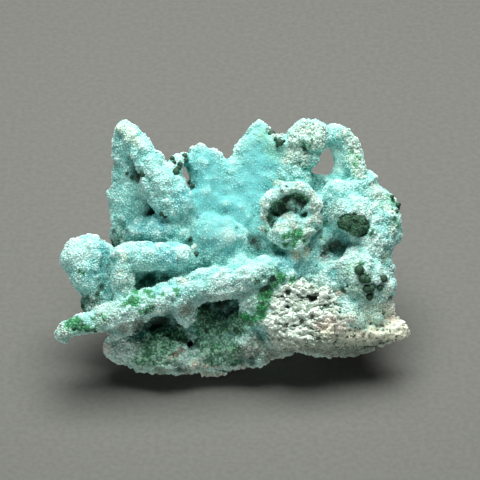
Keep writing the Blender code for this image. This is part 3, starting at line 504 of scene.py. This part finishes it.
chrysocolla = {
    "voxel": 0.39, "rounds": 6,        # mm, and rounds of smoothing
    "bendRounds": 30,
    "lump": 2.3, "lumpHeight": 0.5, "fine": 0.9, "fineHeight": 0.26,
    "waxy": 0.7,                       # how much smoother the waxy faces are
    "waxyRagged": [(1.5, 0.3, 2.0)], "crustRagged": [(0.9, 0.3, 3.0)],    # size, share, seed
    "foot": (9.0, 4.0), "footSize": 0.8, "footHeight": 0.4,    # rougher near the floor
    "crust": 0.95, "crustHeight": 0.5,
    "seam": (1.9, 0.6), "seamHeight": 0.6,    # swells to close the seam with the rock
    "pulls": [      # (across, rise, radius), moved (right, up, out)
        ((2.2, 49.0, 2.4), (0.9, -0.3, 0.0)), ((8.4, 49.6, 2.2), (-1.2, -0.4, 0.0)),
        ((5.4, 51.4, 1.2), (0.0, -0.5, 0.0)), ((20.0, 43.4, 1.6), (-0.8, 0.0, 0.0)),
        ((8.2, 32.8, 3.0), (0.0, 0.0, -1.8)), ((10.8, 33.0, 2.4), (0.0, 0.0, -1.2)),
        ((30.6, 12.2, 3.0), (-0.4, 1.2, -1.4)), ((25.2, 10.6, 2.8), (0.0, 0.2, -2.4)),
        ((28.2, 10.6, 2.8), (0.0, 0.2, -2.4)), ((15.8, 43.8, 2.2), (1.5, -0.2, 0.0)),
        ((20.7, 41.0, 1.2), (0.5, -0.5, 0.0)), ((13.0, 33.4, 1.9), (0.0, -0.3, -1.3)),
        ((8.0, 30.8, 1.5), (0.0, 0.0, -1.2)), ((26.6, 12.8, 2.6), (0.0, 0.4, -1.4)),
        ((14.5, 32.6, 1.5), (0.0, 0.0, -1.8)),
    ],
    "fillers": [    # lumps deep in the hollows: across, rise, near, radius
        (-17.8, 29.2, 3.4, 3.2), (-14.8, 29.6, 4.8, 3.2), (-11.8, 29.4, 5.2, 3.2),
        (-9.4, 28.6, 5.6, 2.6), (-15.6, 19.8, 3.0, 3.4), (-13.4, 19.2, 4.4, 2.6),
        (-15.6, 10.6, 0.8, 2.8), (-13.0, 11.6, 1.6, 2.4), (-2.6, 13.2, 0.8, 3.6),
        (21.2, 26.4, 1.2, 3.2), (19.4, 27.2, 3.0, 2.4), (-3.6, 10.2, 3.0, 3.6),
        (-6.0, 12.0, 2.4, 2.8), (1.8, 11.2, 5.4, 2.6), (-12.8, 20.6, 6.2, 2.2),
        (-11.0, 21.2, 7.0, 2.4), (-9.2, 22.0, 7.2, 2.4), (-7.4, 22.8, 6.8, 2.2),
        (11.4, 34.8, 6.6, 2.4), (8.8, 34.4, 6.2, 2.0), (13.8, 35.0, 7.0, 1.8),
    ],
    "tones": {
        "sea": "#6cbcb3", "pastel": "#98d5ca", "vivid": "#4aa9ad", "smooth": "#53a29f",
        "grey": "#83a89a", "base": "#86a593", "teal": "#3a8784", "hollow": "#3f918d",
        "edge": "#b6e2d5", "speckle": "#4fa19b", "pale": "#92b8a8", "cream": "#b3d2b8",
        "pink": "#cbb9aa", "deep": "#16493f", "moss": "#1f5637", "emerald": "#17693a",
        "rust": "#6b432f", "dark": "#06221a",
        "mint": "#78b58c", "brownShade": "#565c4d", "snow": "#b9dcd0",
    },
    "finish": {
        "Roughness": 0.75, "IOR": 1.5, "Subsurface Weight": 0.8, "Subsurface Radius": (0.8, 1.0, 1.0),
        "Subsurface Scale": 1.0 * mm, "Sheen Weight": 0.25, "Sheen Roughness": 0.4,
        "Sheen Tint": hexColour("#b6e2d5"),
    },
    "grit": (0.42, 0.10, 0.5),         # size and depth in mm, strength
}


def chrysocollaMaterial():
    # Chrysocolla, a hydrous copper silicate: waxy, blue-green, IOR about 1.5, dull where it is bare.
    material, tree, shader = newMaterial("chrysocollaCrust")
    colour, spot = mineralAndShadeColours(tree, chrysocolla["tones"])
    grit = gritty(tree, spot, *chrysocolla["grit"])
    setInputs(tree, shader, {"Base Color": colour, "Normal": grit, **chrysocolla["finish"]})
    return material


def pulled(corners, tree, pulls):    # each (across, rise, radius) and its (right, up, out), mm
    moved = corners.copy()
    for (across, rise, radius), (right, up, out) in pulls:
        away = np.linalg.norm(corners - seen(tree, across, rise), axis=1) / (radius * mm)
        step = np.array(place(right, up, out) - place(0.0, 0.0))
        moved += smoothStep(1.0, 0.0, away)[:, None] * step
    return moved


def makeGrowthSkin(rockTree):
    values = chrysocolla
    piece = skinOf("chrysocolla_growth", "chrysocolla_skin", values["voxel"], values["rounds"],
                   values["fillers"])
    setCorners(piece.data, pulled(cornersOf(piece.data), treeOf([piece]), values["pulls"]))
    corners = cornersOf(piece.data)
    tree = treeOf([piece])
    waxy = marked(corners, tree, marks["smooth"], wavesOn(corners, values["waxyRagged"]),
                  borders["softEdge"])
    crusted = marked(corners, tree, marks["pale"], wavesOn(corners, values["crustRagged"]))
    foot = smoothStep(*values["foot"], onPlane(corners)[1])
    lumps = (cobblesAt(corners, values["lump"], 4.0) - cobbleMean) * values["lumpHeight"]
    lumps += noiseAt(corners, values["fine"], 2.0) * values["fineHeight"]
    lumps *= 1.0 - values["waxy"] * waxy
    lumps += foot * noiseAt(corners, values["footSize"], 14.0) * values["footHeight"]
    lumps += crusted * (cobblesAt(corners, values["crust"], 7.0) - cobbleMean) * values["crustHeight"]
    lumps += values["seamHeight"] * smoothStep(*values["seam"], gapsTo(rockTree, corners))
    pushOut(piece, lumps)
    return piece


rock = {
    "voxel": 0.29, "rounds": 1, "bendRounds": 20,
    "ridge": (2.0, 0.8), "ridgeHeight": 0.8, "ridgeSteep": 2.5,    # length and width in mm
    "swell": 1.8, "cobble": 0.9, "cobbleLevel": 0.5, "relief": 0.3,    # mm
    "ledgeAcross": (18.0, 22.0), "ledgeRise": (14.0, 11.0),    # the flat ledge fades in
    "ledgeCalm": 0.6, "ledgeCobble": 0.7,
    "cutBase": (0.2, 1.4),             # the relief fades in above the flat base, mm
    "pits": [      # across, rise, radius
        (16.2, 16.0, 0.9), (15.2, 16.4, 0.6), (17.0, 16.6, 0.5), (11.2, 17.0, 0.6),
        (10.2, 16.4, 0.5), (11.0, 14.2, 0.6), (14.0, 11.6, 0.9), (15.8, 12.2, 0.9),
        (15.0, 13.0, 0.5), (10.8, 10.8, 0.5), (14.4, 10.4, 0.5), (18.6, 14.4, 0.4),
    ],
    "pitDepth": 0.9, "pitRagged": [(0.6, 0.4, 3.0)],    # size, share, seed
    "tones": {
        "sea": "#b3c7b4", "pastel": "#d6e2d3", "vivid": "#9fd0c4", "smooth": "#a9c9bd",
        "grey": "#a3b5a3", "base": "#a3ad98", "teal": "#76a294", "hollow": "#36493c",
        "edge": "#e6ede3", "speckle": "#869883", "pale": "#dbe4d6", "cream": "#e4e9cf",
        "pink": "#cfbfb2", "deep": "#20372c", "moss": "#2a4a34", "emerald": "#338550",
        "rust": "#4d392b", "dark": "#111a13",
        "mint": "#8fc19c", "brownShade": "#595d4f", "snow": "#e4f0e3",
    },
    "specks": [("hollow", 0.8, 0.57, 0.63, 0.8)],
    "grit": (0.45, 0.25, 0.8), "roughness": 0.85,
    "facing": (3.0, 5.0), "slope": 0.6,                    # what faces the camera
    "frontRise": (5.0, 6.5), "frontAcross": (5.0, 6.5),    # and lies here has a crust
    "crustCover": 0.75, "crustGrain": 0.95,
    "ledgeLess": 0.4, "bare": 0.8,                         # less on the ledge, in holes, and in hollows so that the painted shade there shows
    "bandRise": (6.6, 5.8), "bandLeft": (12.0, 14.0), "bandRight": (29.0, 27.5),    # has druse
    "seam": (1.1, 0.5),                                    # druse this near to the growth, mm
}


def rockMaterial():
    # Leached copper-bearing rock: dull, porous, stained green, no gloss at all.
    material, tree, shader = newMaterial("leachedRock")
    colour, spot = mineralAndShadeColours(tree, rock["tones"])
    colour = mottled(tree, spot, colour, rock["tones"], rock["specks"])
    grit = gritty(tree, spot, *rock["grit"])
    setInputs(tree, shader, {"Base Color": colour, "Normal": grit, "Roughness": rock["roughness"]})
    return material


def ledgeOf(corners):    # 1 on the flat ledge at the right, 0 on the block
    across, rise, _ = onPlane(corners)
    return smoothStep(*rock["ledgeAcross"], across) * smoothStep(*rock["ledgeRise"], rise)


def makeRockSkin():
    piece = skinOf("host_rock", "rock_skin", rock["voxel"], rock["rounds"])
    corners = cornersOf(piece.data)
    long, wide = rock["ridge"]
    stretched = corners * np.array([wide / long, 1.0, 1.0])
    ridges = 1.0 - rock["ridgeSteep"] * np.abs(noiseAt(stretched, wide, 6.0))
    heights = ridges * rock["ridgeHeight"] + rock["relief"] * noiseAt(corners, rock["swell"], 9.0)
    heights += rock["relief"] * (cobblesAt(corners, rock["cobble"], 5.0) - rock["cobbleLevel"])
    ragged = wavesOn(corners, rock["pitRagged"])
    heights -= rock["pitDepth"] * marked(corners, treeOf([piece]), rock["pits"], ragged)
    ledge = ledgeOf(corners)
    heights *= 1.0 - rock["ledgeCalm"] * ledge
    heights += rock["relief"] * ledge * (cobblesAt(corners, rock["ledgeCobble"], 2.0) - cobbleMean)
    heights *= smoothStep(*rock["cutBase"], corners[:, 2] / mm)
    pushOut(piece, heights)
    now = cornersOf(piece.data)
    now[:, 2] = np.maximum(now[:, 2], 0.0)
    setCorners(piece.data, now)
    return piece


druse = {
    "spacing": 0.31, "density": 13.0,     # mm between grains, grains per square mm
    "size": (0.21, 0.37), "tall": 0.85,   # half width of a crystal in mm, height over width
    "tiltDeg": 25.0, "sunk": 0.28, "seed": 11,
    "sections": {                          # across from, to
        "druse_far_left": (-99.0, -18.0), "druse_left": (-18.0, -7.0), "druse_middle": (-7.0, 4.0),
        "druse_right": (4.0, 16.0), "druse_far_right": (16.0, 99.0),
    },
    "keptOff": {"dark": 0.95, "moss": 0.5, "emerald": 0.8, "pale": 0.4, "smooth": 0.3},
    "aboveFloor": (0.4, 1.2),             # mm, none lower
    "coarser": 0.2, "finer": 0.25,        # on crests and the foot, on waxy faces
    "tones": {
        "sea": "#84d0c7", "pastel": "#b0e7de", "vivid": "#61c4c9", "smooth": "#62afac",
        "grey": "#a6c2b5", "base": "#adc6b6", "teal": "#4f9a95", "hollow": "#56a8a0",
        "edge": "#d2efe4", "speckle": "#70b6ad", "pale": "#afcfc0", "cream": "#bfdec6",
        "pink": "#d3c6b8", "deep": "#22574c", "moss": "#619c79", "emerald": "#3c8f60",
        "rust": "#7c5f4a", "dark": "#123a2c",
        "mint": "#8fc8a0", "brownShade": "#6a7364", "snow": "#d3ece3",
    },
    "darkest": 0.84, "lightest": 1.08,    # how far one grain's tone differs from the next
    "frost": 0.35, "fade": 0.12,          # how much lighter and greyer its tip is
    "clear": 0.5,                         # how far grains on waxy faces take their colour
    "finish": {
        "Roughness": 0.6, "IOR": 1.544, "Transmission Weight": 0.12, "Subsurface Weight": 0.7,
        "Subsurface Radius": (1.0, 0.5, 0.5), "Subsurface Scale": 0.35 * mm,
    },
}


def grainTones(tree, colour, values):    # each grain a little lighter or darker, with a frosted tip
    tone = addNode(tree, "ShaderNodeAttribute", attribute_name="tone").outputs["Fac"]
    tip = addNode(tree, "ShaderNodeAttribute", attribute_name="tip").outputs["Fac"]
    value = addNode(tree, "ShaderNodeMapRange", {
        0: tone, 3: values["darkest"], 4: values["lightest"]}).outputs[0]
    lighter = addNode(tree, "ShaderNodeMapRange", {0: tip, 3: 1.0, 4: 1.0 + values["frost"]}).outputs[0]
    greyer = addNode(tree, "ShaderNodeMapRange", {0: tip, 3: 1.0, 4: 1.0 - values["fade"]}).outputs[0]
    both = addNode(tree, "ShaderNodeMath", {0: value, 1: lighter}, operation="MULTIPLY").outputs[0]
    return addNode(tree, "ShaderNodeHueSaturation", {
        "Value": both, "Saturation": greyer, "Color": colour}).outputs[0]


def quartzMaterial():
    # Quartz grains, IOR 1.544: clear, glassy faces over the blue-green, frosted by their number.
    material, tree, shader = newMaterial("quartzDruse")
    colour = mineralAndShadeColours(tree, druse["tones"])[0]
    toned = grainTones(tree, colour, druse)
    colour = laidOver(tree, toned, colour, readFields(tree)["smooth"], druse["clear"])
    setInputs(tree, shader, {"Base Color": colour, **druse["finish"]})
    return material


crust = {
    "spacing": 0.27, "density": 14.0, "size": (0.13, 0.30), "tall": 1.0, "tiltDeg": 30.0,
    "sunk": 0.05, "seed": 5,
    "tones": {
        "sea": "#9dbfb0", "pastel": "#bad2c5", "vivid": "#a0ccc4", "smooth": "#a9cec5",
        "grey": "#b5c8bb", "base": "#b0baa8", "teal": "#8fbdb0", "hollow": "#7fa392",
        "edge": "#dcebe0", "speckle": "#93b5a3", "pale": "#afcbbd", "cream": "#ebeed2",
        "pink": "#dacbbf", "deep": "#2a4a3d", "moss": "#4f7a5c", "emerald": "#4a9a6c",
        "rust": "#85684f", "dark": "#2c4437", "tinge": "#7fae93",
        "mint": "#9accaa", "brownShade": "#6f7364", "snow": "#deecdf",
    },
    "darkest": 0.66, "lightest": 1.06, "frost": 0.3, "fade": 0.2,
    "mottles": [("tinge", 1.3, 0.5, 0.75, 0.65), ("moss", 0.8, 0.60, 0.66, 0.7)],
    "grit": (0.25, 0.12, 0.8),
    "finish": {
        "Roughness": 0.7, "Subsurface Weight": 0.25, "Subsurface Radius": (0.9, 1.0, 0.9),
        "Subsurface Scale": 0.3 * mm,
    },
}


def crustMaterial():
    # Chalky quartz and malachite crust, white with a green tinge, IOR about 1.5, no gloss.
    material, tree, shader = newMaterial("paleCrust")
    colour, spot = mineralAndShadeColours(tree, crust["tones"])
    colour = mottled(tree, spot, colour, crust["tones"], crust["mottles"])
    colour = grainTones(tree, colour, crust)
    grit = gritty(tree, spot, *crust["grit"])
    setInputs(tree, shader, {"Base Color": colour, "Normal": grit, **crust["finish"]})
    return material


grainShape = {
    "least": (0.75, 0.75, 0.8), "most": (1.25, 1.25, 1.2),    # how far each is stretched
    "fullTurn": 6.2832,
}


def grainTree(name, sides):    # crystals with this many sides, or round lumps for 0, on a surface
    tree = bpy.data.node_groups.new(name, "GeometryNodeTree")
    face = tree.interface
    face.new_socket("Geometry", in_out="INPUT", socket_type="NodeSocketGeometry")
    for label in ("Spacing", "Density", "Smallest", "Largest", "Tall", "Tilt", "Sunk"):
        face.new_socket(label, in_out="INPUT", socket_type="NodeSocketFloat")
    face.new_socket("Seed", in_out="INPUT", socket_type="NodeSocketInt")
    face.new_socket("Material", in_out="INPUT", socket_type="NodeSocketMaterial")
    face.new_socket("Geometry", in_out="OUTPUT", socket_type="NodeSocketGeometry")
    given = addNode(tree, "NodeGroupInput").outputs

    # where they stand, each with a tone of its own
    cover = addNode(tree, "GeometryNodeInputNamedAttribute", {"Name": "cover"}, data_type="FLOAT")
    grain = addNode(tree, "GeometryNodeInputNamedAttribute", {"Name": "grain"}, data_type="FLOAT")
    spread = addNode(tree, "GeometryNodeDistributePointsOnFaces", {
        "Mesh": given["Geometry"], "Distance Min": given["Spacing"], "Density Max": given["Density"],
        "Density Factor": cover.outputs[0], "Seed": given["Seed"]}, distribute_method="POISSON")
    anyTone = addNode(tree, "FunctionNodeRandomValue", {2: 0.0, 3: 1.0, "Seed": given["Seed"]},
                      data_type="FLOAT").outputs[1]
    toned = addNode(tree, "GeometryNodeStoreNamedAttribute", {
        "Geometry": spread.outputs["Points"], "Name": "tone", "Value": anyTone},
        data_type="FLOAT", domain="POINT").outputs[0]

    # one crystal or lump, sunk into the surface
    if sides:
        shape = addNode(tree, "GeometryNodeMeshCone", {
            "Vertices": sides, "Radius Top": 0.0, "Radius Bottom": 1.0, "Depth": given["Tall"]})
    else:
        shape = addNode(tree, "GeometryNodeMeshIcoSphere", {"Radius": 1.0, "Subdivisions": 1})
    spot = addNode(tree, "GeometryNodeInputPosition").outputs[0]
    height = addNode(tree, "ShaderNodeSeparateXYZ", {0: spot}).outputs[2]
    share = addNode(tree, "ShaderNodeMapRange", {0: height, 1: 0.0, 2: given["Tall"]}).outputs[0]
    tipped = addNode(tree, "GeometryNodeStoreNamedAttribute", {
        "Geometry": shape.outputs[0], "Name": "tip", "Value": share},
        data_type="FLOAT", domain="POINT").outputs[0]
    down = addNode(tree, "ShaderNodeMath", {0: given["Sunk"], 1: -1.0}, operation="MULTIPLY").outputs[0]
    shift = addNode(tree, "ShaderNodeCombineXYZ", {"Z": down}).outputs[0]
    crystal = addNode(tree, "GeometryNodeTransform", {"Geometry": tipped, "Translation": shift}).outputs[0]

    # how each one is turned and sized
    minus = addNode(tree, "ShaderNodeMath", {0: given["Tilt"], 1: -1.0}, operation="MULTIPLY").outputs[0]
    least = addNode(tree, "ShaderNodeCombineXYZ", {"X": minus, "Y": minus, "Z": 0.0}).outputs[0]
    most = addNode(tree, "ShaderNodeCombineXYZ", {
        "X": given["Tilt"], "Y": given["Tilt"], "Z": grainShape["fullTurn"]}).outputs[0]
    turn = addNode(tree, "FunctionNodeRandomValue", {0: least, 1: most, "Seed": given["Seed"]},
                   data_type="FLOAT_VECTOR").outputs[0]
    turned = addNode(tree, "FunctionNodeRotateRotation", {0: spread.outputs["Rotation"], 1: turn},
                     rotation_space="LOCAL").outputs[0]
    size = addNode(tree, "FunctionNodeRandomValue", {
        2: given["Smallest"], 3: given["Largest"], "Seed": given["Seed"]}, data_type="FLOAT").outputs[1]
    size = addNode(tree, "ShaderNodeMath", {0: size, 1: grain.outputs[0]}, operation="MULTIPLY").outputs[0]
    stretch = addNode(tree, "FunctionNodeRandomValue", {
        0: grainShape["least"], 1: grainShape["most"], "Seed": given["Seed"]},
        data_type="FLOAT_VECTOR").outputs[0]
    scale = addNode(tree, "ShaderNodeVectorMath", {0: stretch, "Scale": size}, operation="SCALE").outputs[0]

    grains = addNode(tree, "GeometryNodeInstanceOnPoints", {
        "Points": toned, "Instance": crystal, "Rotation": turned, "Scale": scale}).outputs[0]
    plain = addNode(tree, "GeometryNodeRealizeInstances", {0: grains}).outputs[0]
    painted = addNode(tree, "GeometryNodeSetMaterial", {0: plain, "Material": given["Material"]}).outputs[0]
    addNode(tree, "NodeGroupOutput", {0: painted})
    return tree


def dress(piece, material, slotName, *nodes):
    piece.data.materials.clear()
    piece.data.materials.append(material)
    if nodes:
        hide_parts(*nodes)
    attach(piece, "root")


def trianglesOf(piece):
    return sum(len(p.vertices) - 2 for p in piece.data.polygons)


def grow(name, skin, kind, slotName, cover, grain=1.0):    # grains on a skin, as a plain mesh
    tree, values, material = grainKinds[kind]
    base = linked("base_" + name, skin.data.copy())
    setAttribute(base, "cover", cover)
    setAttribute(base, "grain", np.ones(len(cover)) * grain)
    growth = base.modifiers.new("grains", "NODES")
    growth.node_group = tree
    given = {
        "Spacing": values["spacing"] * mm, "Density": values["density"] / mm ** 2,
        "Smallest": values["size"][0] * mm, "Largest": values["size"][1] * mm,
        "Tall": values["tall"], "Tilt": math.radians(values["tiltDeg"]), "Sunk": values["sunk"],
        "Seed": values["seed"], "Material": material,
    }
    for item in tree.interface.items_tree:
        if item.in_out == "INPUT" and item.name in given:
            growth[item.identifier] = given[item.name]
    piece = linked(name, evaluatedMesh(base))
    bpy.data.objects.remove(base)
    if kind == "crust":
        piece.data.shade_smooth()
    dress(piece, material, slotName)
    print(name, trianglesOf(piece), "triangles")


malachite = {
    "rounds": 2,       # voxel and swell in mm; waves are size and height in mm, seed
    "nodule": {"voxel": 0.14, "swell": -0.25, "waves": [(1.6, 1.0, 1.0), (0.35, 0.10, 5.0)]},
    "ball": {"voxel": 0.08, "swell": 0.10, "waves": [(0.5, 0.05, 1.0), (0.35, 0.03, 5.0)]},
    "beadWaves": [(0.6, 0.09, 4.0), (0.25, 0.04, 7.0)],
    "beadOut": 0.45,   # of the radius, towards the camera
    "streaks": (0.7, 0.35, 0.7), "fibres": (0.24, 0.5, 0.75),    # mm, and the noise from and to
    "fibreShare": 0.5, "fibreDepth": 0.08, "fibreStrength": 0.7,
    "finish": {"Roughness": 0.65, "Specular IOR Level": 0.3, "IOR": 1.66},
    "tones": {"dark": "#0c2f1c", "mid": "#1d5236", "streak": "#47805c"},
    "darkest": 0.4, "lightest": 1.5, "frost": 0.7, "fade": 0.1, "skinTone": 0.4,
    "beads": [     # small dark balls on the growth: across, rise, radius
        (-10.3, 45.0, 0.62), (-9.5, 44.4, 0.58), (-9.2, 43.6, 0.58), (-11.4, 44.8, 0.50),
        (-11.9, 43.9, 0.50), (-11.6, 43.1, 0.50), (-10.4, 42.7, 0.60), (-11.2, 41.3, 0.70),
        (-10.7, 42.0, 0.50), (-8.4, 39.1, 0.52), (-7.8, 38.4, 0.45), (-17.8, 40.8, 0.70),
        (-18.8, 40.2, 0.40), (-20.0, 40.1, 0.40), (-21.0, 40.9, 0.32), (-14.1, 32.8, 0.45),
        (-13.4, 32.3, 0.40), (7.9, 48.7, 0.85), (8.7, 47.8, 0.40), (9.5, 47.1, 0.78),
        (9.0, 46.4, 0.35), (10.4, 47.4, 0.32), (33.2, 34.6, 0.55), (32.9, 33.3, 0.42),
        (32.0, 36.2, 0.45), (-26.9, 16.9, 0.42), (-29.8, 14.4, 0.42), (-7.2, 24.8, 0.45),
    ],
}
noduleGrains = {
    "spacing": 0.30, "density": 12.0, "size": (0.18, 0.34), "tall": 1.5, "tiltDeg": 40.0,
    "sunk": 0.3, "seed": 31,
}


def malachiteMaterial():
    # Malachite in fine fibres: dark green, IOR about 1.66, softly shining on the balls.
    material, tree, shader = newMaterial("malachiteVelvet")
    tones = malachite["tones"]
    spot = addNode(tree, "ShaderNodeTexCoord").outputs["Object"]
    streaks = mottling(tree, spot, *malachite["streaks"])
    colour = laidOver(tree, hexColour(tones["dark"]), tones["mid"], streaks)
    fibres = mottling(tree, spot, *malachite["fibres"])
    colour = laidOver(tree, colour, tones["streak"], fibres, malachite["fibreShare"])
    colour = grainTones(tree, colour, malachite)
    bump = addNode(tree, "ShaderNodeBump", {
        "Height": fibres, "Distance": malachite["fibreDepth"] * mm, "Strength": malachite["fibreStrength"]})
    setInputs(tree, shader, {"Base Color": colour, "Normal": bump.outputs[0], **malachite["finish"]})
    return material


def makeMalachite():
    for name in sorted(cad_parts):
        if name.startswith("malachite"):
            values = malachite["nodule" if name == "malachite_nodule" else "ball"]
            piece = skinOf(name, name + "_skin", values["voxel"], malachite["rounds"])
            corners = cornersOf(piece.data)
            pushOut(piece, wavesOn(corners, values["waves"]) + values["swell"])
            setAttribute(piece, "tone", np.full(len(corners), malachite["skinTone"]))
            dress(piece, velvet, "malachite", name)
            if name == "malachite_nodule":
                grow("nodule_grains", piece, "nodule", "malachite", np.ones(len(corners)))


def makeBeads(tree):
    shape = bmesh.new()
    for across, rise, radius in malachite["beads"]:
        out = place(0.0, 0.0, malachite["beadOut"] * radius) - place(0.0, 0.0)
        bmesh.ops.create_icosphere(shape, subdivisions=3, radius=radius * mm,
                                   matrix=Matrix.Translation(Vector(seen(tree, across, rise)) + out))
    mesh = bpy.data.meshes.new("malachite_beads")
    shape.to_mesh(mesh)
    shape.free()
    piece = linked("malachite_beads", mesh)
    corners = cornersOf(mesh)
    pushOut(piece, wavesOn(corners, malachite["beadWaves"]))
    setAttribute(piece, "tone", np.full(len(corners), malachite["skinTone"]))
    mesh.shade_smooth()
    dress(piece, velvet, "malachite")


moss = {
    "spacing": 0.25, "density": 15.0, "size": (0.11, 0.24), "tall": 1.3, "tiltDeg": 40.0,
    "sunk": 0.3, "seed": 23,
    "tones": {
        "sea": "#3f9060", "bright": "#2a8a4e", "deep": "#20633c", "black": "#07281a",
        "tip": "#8cc3a0",
    },
    "mottles": [("sea", 0.7, 0.35, 0.65, 1.0), ("tip", 0.3, 0.55, 0.75, 0.3)],
    # the tufts turn black where dark is marked, and darker in the painted shade (deep)
    "over": [("bright", "emerald", 0.75), ("black", "dark", 0.9), ("black", "deep", 0.5)],
    "darkest": 0.3, "lightest": 1.4, "frost": 0.5, "fade": 0.0,
    "finish": {"Roughness": 0.55, "Specular IOR Level": 0.3, "IOR": 1.66},
    "onMoss": 0.5,     # how much of it stands where only moss is marked
}


def mossMaterial():
    # Tufts of malachite needles, emerald to nearly black, IOR about 1.66.
    material, tree, shader = newMaterial("malachiteTufts")
    tones = moss["tones"]
    spot = addNode(tree, "ShaderNodeTexCoord").outputs["Object"]
    fields = readFields(tree)
    colour = mottled(tree, spot, hexColour(tones["deep"]), tones, moss["mottles"])
    for tone, kind, strength in moss["over"]:
        colour = laidOver(tree, colour, tones[tone], fields[kind], strength)
    colour = grainTones(tree, colour, moss)
    setInputs(tree, shader, {"Base Color": colour, **moss["finish"]})
    return material


def grainsOnGrowth(skin, fields):
    corners = cornersOf(skin.data)
    across = onPlane(corners)[0]
    aboveFloor = smoothStep(*druse["aboveFloor"], corners[:, 2] / mm)
    cover = np.ones(len(corners))
    for kind, share in druse["keptOff"].items():
        cover -= share * fields[kind]
    cover = aboveFloor * np.clip(cover, 0.0, 1.0)
    grain = 1.0 + druse["coarser"] * np.maximum(fields["base"], fields["grey"])
    grain *= 1.0 - druse["finer"] * fields["smooth"] + druse["coarser"] * fields["edge"]
    for name, (first, last) in druse["sections"].items():
        inside = (across >= first) & (across < last)
        grow(name, skin, "druse", "drusy_chrysocolla", cover * inside, grain)
    grow("pale_crust", skin, "crust", "drusy_chrysocolla", aboveFloor * fields["pale"])
    wool = np.maximum(np.maximum(fields["emerald"], moss["onMoss"] * fields["moss"]), fields["dark"])
    grow("malachite_moss", skin, "moss", "malachite", wool)


def grainsOnRock(skin, fields, growthTree):
    corners = cornersOf(skin.data)
    across, rise, near = onPlane(corners)
    facing = smoothStep(*rock["facing"], near + rock["slope"] * rise)
    front = facing * smoothStep(*rock["frontRise"], rise) * smoothStep(*rock["frontAcross"], across)
    band = smoothStep(*rock["bandRise"], rise) * smoothStep(*rock["bandLeft"], across)
    band *= smoothStep(*rock["bandRight"], across)
    seam = np.maximum(smoothStep(*rock["seam"], gapsTo(growthTree, corners)), band * facing)
    holes = np.clip(fields["dark"] + rock["bare"] * fields["emerald"], 0.0, 1.0)
    cover = front * np.clip(1.0 - holes - rock["bare"] * fields["hollow"], 0.0, 1.0)
    less = rock["ledgeLess"] * ledgeOf(corners)
    grow("rock_crust", skin, "crust", "porous_rock", cover * (rock["crustCover"] - less),
         rock["crustGrain"] - less)
    grow("seam_druse", skin, "druse", "drusy_chrysocolla", seam * (1.0 - holes))
    grow("rock_moss", skin, "moss", "malachite", np.maximum(fields["emerald"], fields["moss"]))


rockSkin = makeRockSkin()
print("rock skin:", trianglesOf(rockSkin), "triangles")
growthSkin = makeGrowthSkin(treeOf([rockSkin]))
print("growth skin:", trianglesOf(growthSkin), "triangles")
bothTree = treeOf([rockSkin, growthSkin])
growthFields = describe(growthSkin, bothTree, chrysocolla["bendRounds"])
rockFields = describe(rockSkin, bothTree, rock["bendRounds"])
print("minerals marked")

velvet = malachiteMaterial()
crystals = grainTree("quartzGrains", 6)
grainKinds = {      # tree, values, material
    "druse": (crystals, druse, quartzMaterial()),
    "crust": (grainTree("crustLumps", 0), crust, crustMaterial()),
    "moss": (crystals, moss, mossMaterial()),
    "nodule": (crystals, noduleGrains, velvet),
}
grainsOnGrowth(growthSkin, growthFields)
grainsOnRock(rockSkin, rockFields, treeOf([growthSkin]))
dress(rockSkin, rockMaterial(), "porous_rock", "host_rock")
dress(growthSkin, chrysocollaMaterial(), "drusy_chrysocolla", "chrysocolla_growth")
makeMalachite()
makeBeads(bothTree)
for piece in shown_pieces():
    if piece.name.endswith("_skin"):
        piece.data.shade_smooth()
print("grains grown, malachite dressed")

studio = {
    "floor": "#60615c", "floorGrain": "#5a5b56", "world": "#eef2f0", "worldStrength": 0.006,
    "floorSide": 1.6, "middle": (0.0, 0.0, 0.02),    # m
    "lights": {     # azimuth, elevation in degrees, distance, side in m, watts
        "overhead": (174.0, 76.0, 0.36, 0.28, 3.6),
        "front_fill": (-10.0, 7.0, 0.90, 0.20, 3.0),
    },
}


def setStudio():
    material, tree, shader = newMaterial("floorPaper")    # matt grey card
    spot = addNode(tree, "ShaderNodeTexCoord").outputs["Object"]
    grainy = mottling(tree, spot, 1.1)
    colour = laidOver(tree, hexColour(studio["floor"]), studio["floorGrain"], grainy)
    setInputs(tree, shader, {"Base Color": colour, "Roughness": 0.9})
    side = studio["floorSide"]
    mesh = bpy.data.meshes.new("floor")
    mesh.from_pydata([(-side, -side, 0), (side, -side, 0), (side, side, 0), (-side, side, 0)],
                     [], [(0, 1, 2, 3)])
    mesh.materials.append(material)
    linked("floor", mesh)
    world = bpy.data.worlds.new("softRoom")
    world.use_nodes = True
    world.node_tree.nodes["Background"].inputs[0].default_value = hexColour(studio["world"])
    world.node_tree.nodes["Background"].inputs[1].default_value = studio["worldStrength"]
    bpy.context.scene.world = world
    middle = Vector(studio["middle"])
    for name, (turn, height, away, size, watts) in studio["lights"].items():
        a = math.radians(turn)
        e = math.radians(height)
        back = Vector((math.sin(a) * math.cos(e), -math.cos(a) * math.cos(e), math.sin(e)))
        data = bpy.data.lights.new(name, "AREA")
        data.size = size
        data.energy = watts
        lamp = linked(name, data)
        lamp.location = middle + back * away
        lamp.rotation_euler = (-back).to_track_quat("-Z", "Y").to_euler()
    bpy.context.scene.view_settings.view_transform = "Standard"


def setCamera():
    data = bpy.data.cameras.new("camera")
    data.lens = layout["lens"]
    data.sensor_width = layout["sensor"]
    data.clip_start = 0.01
    data.clip_end = 10.0
    camera = linked("camera", data)
    camera.location = eye
    camera.rotation_euler = (place(*layout["aim"]) - eye).to_track_quat("-Z", "Y").to_euler()
    bpy.context.scene.camera = camera


setStudio()
setCamera()
print("studio set")
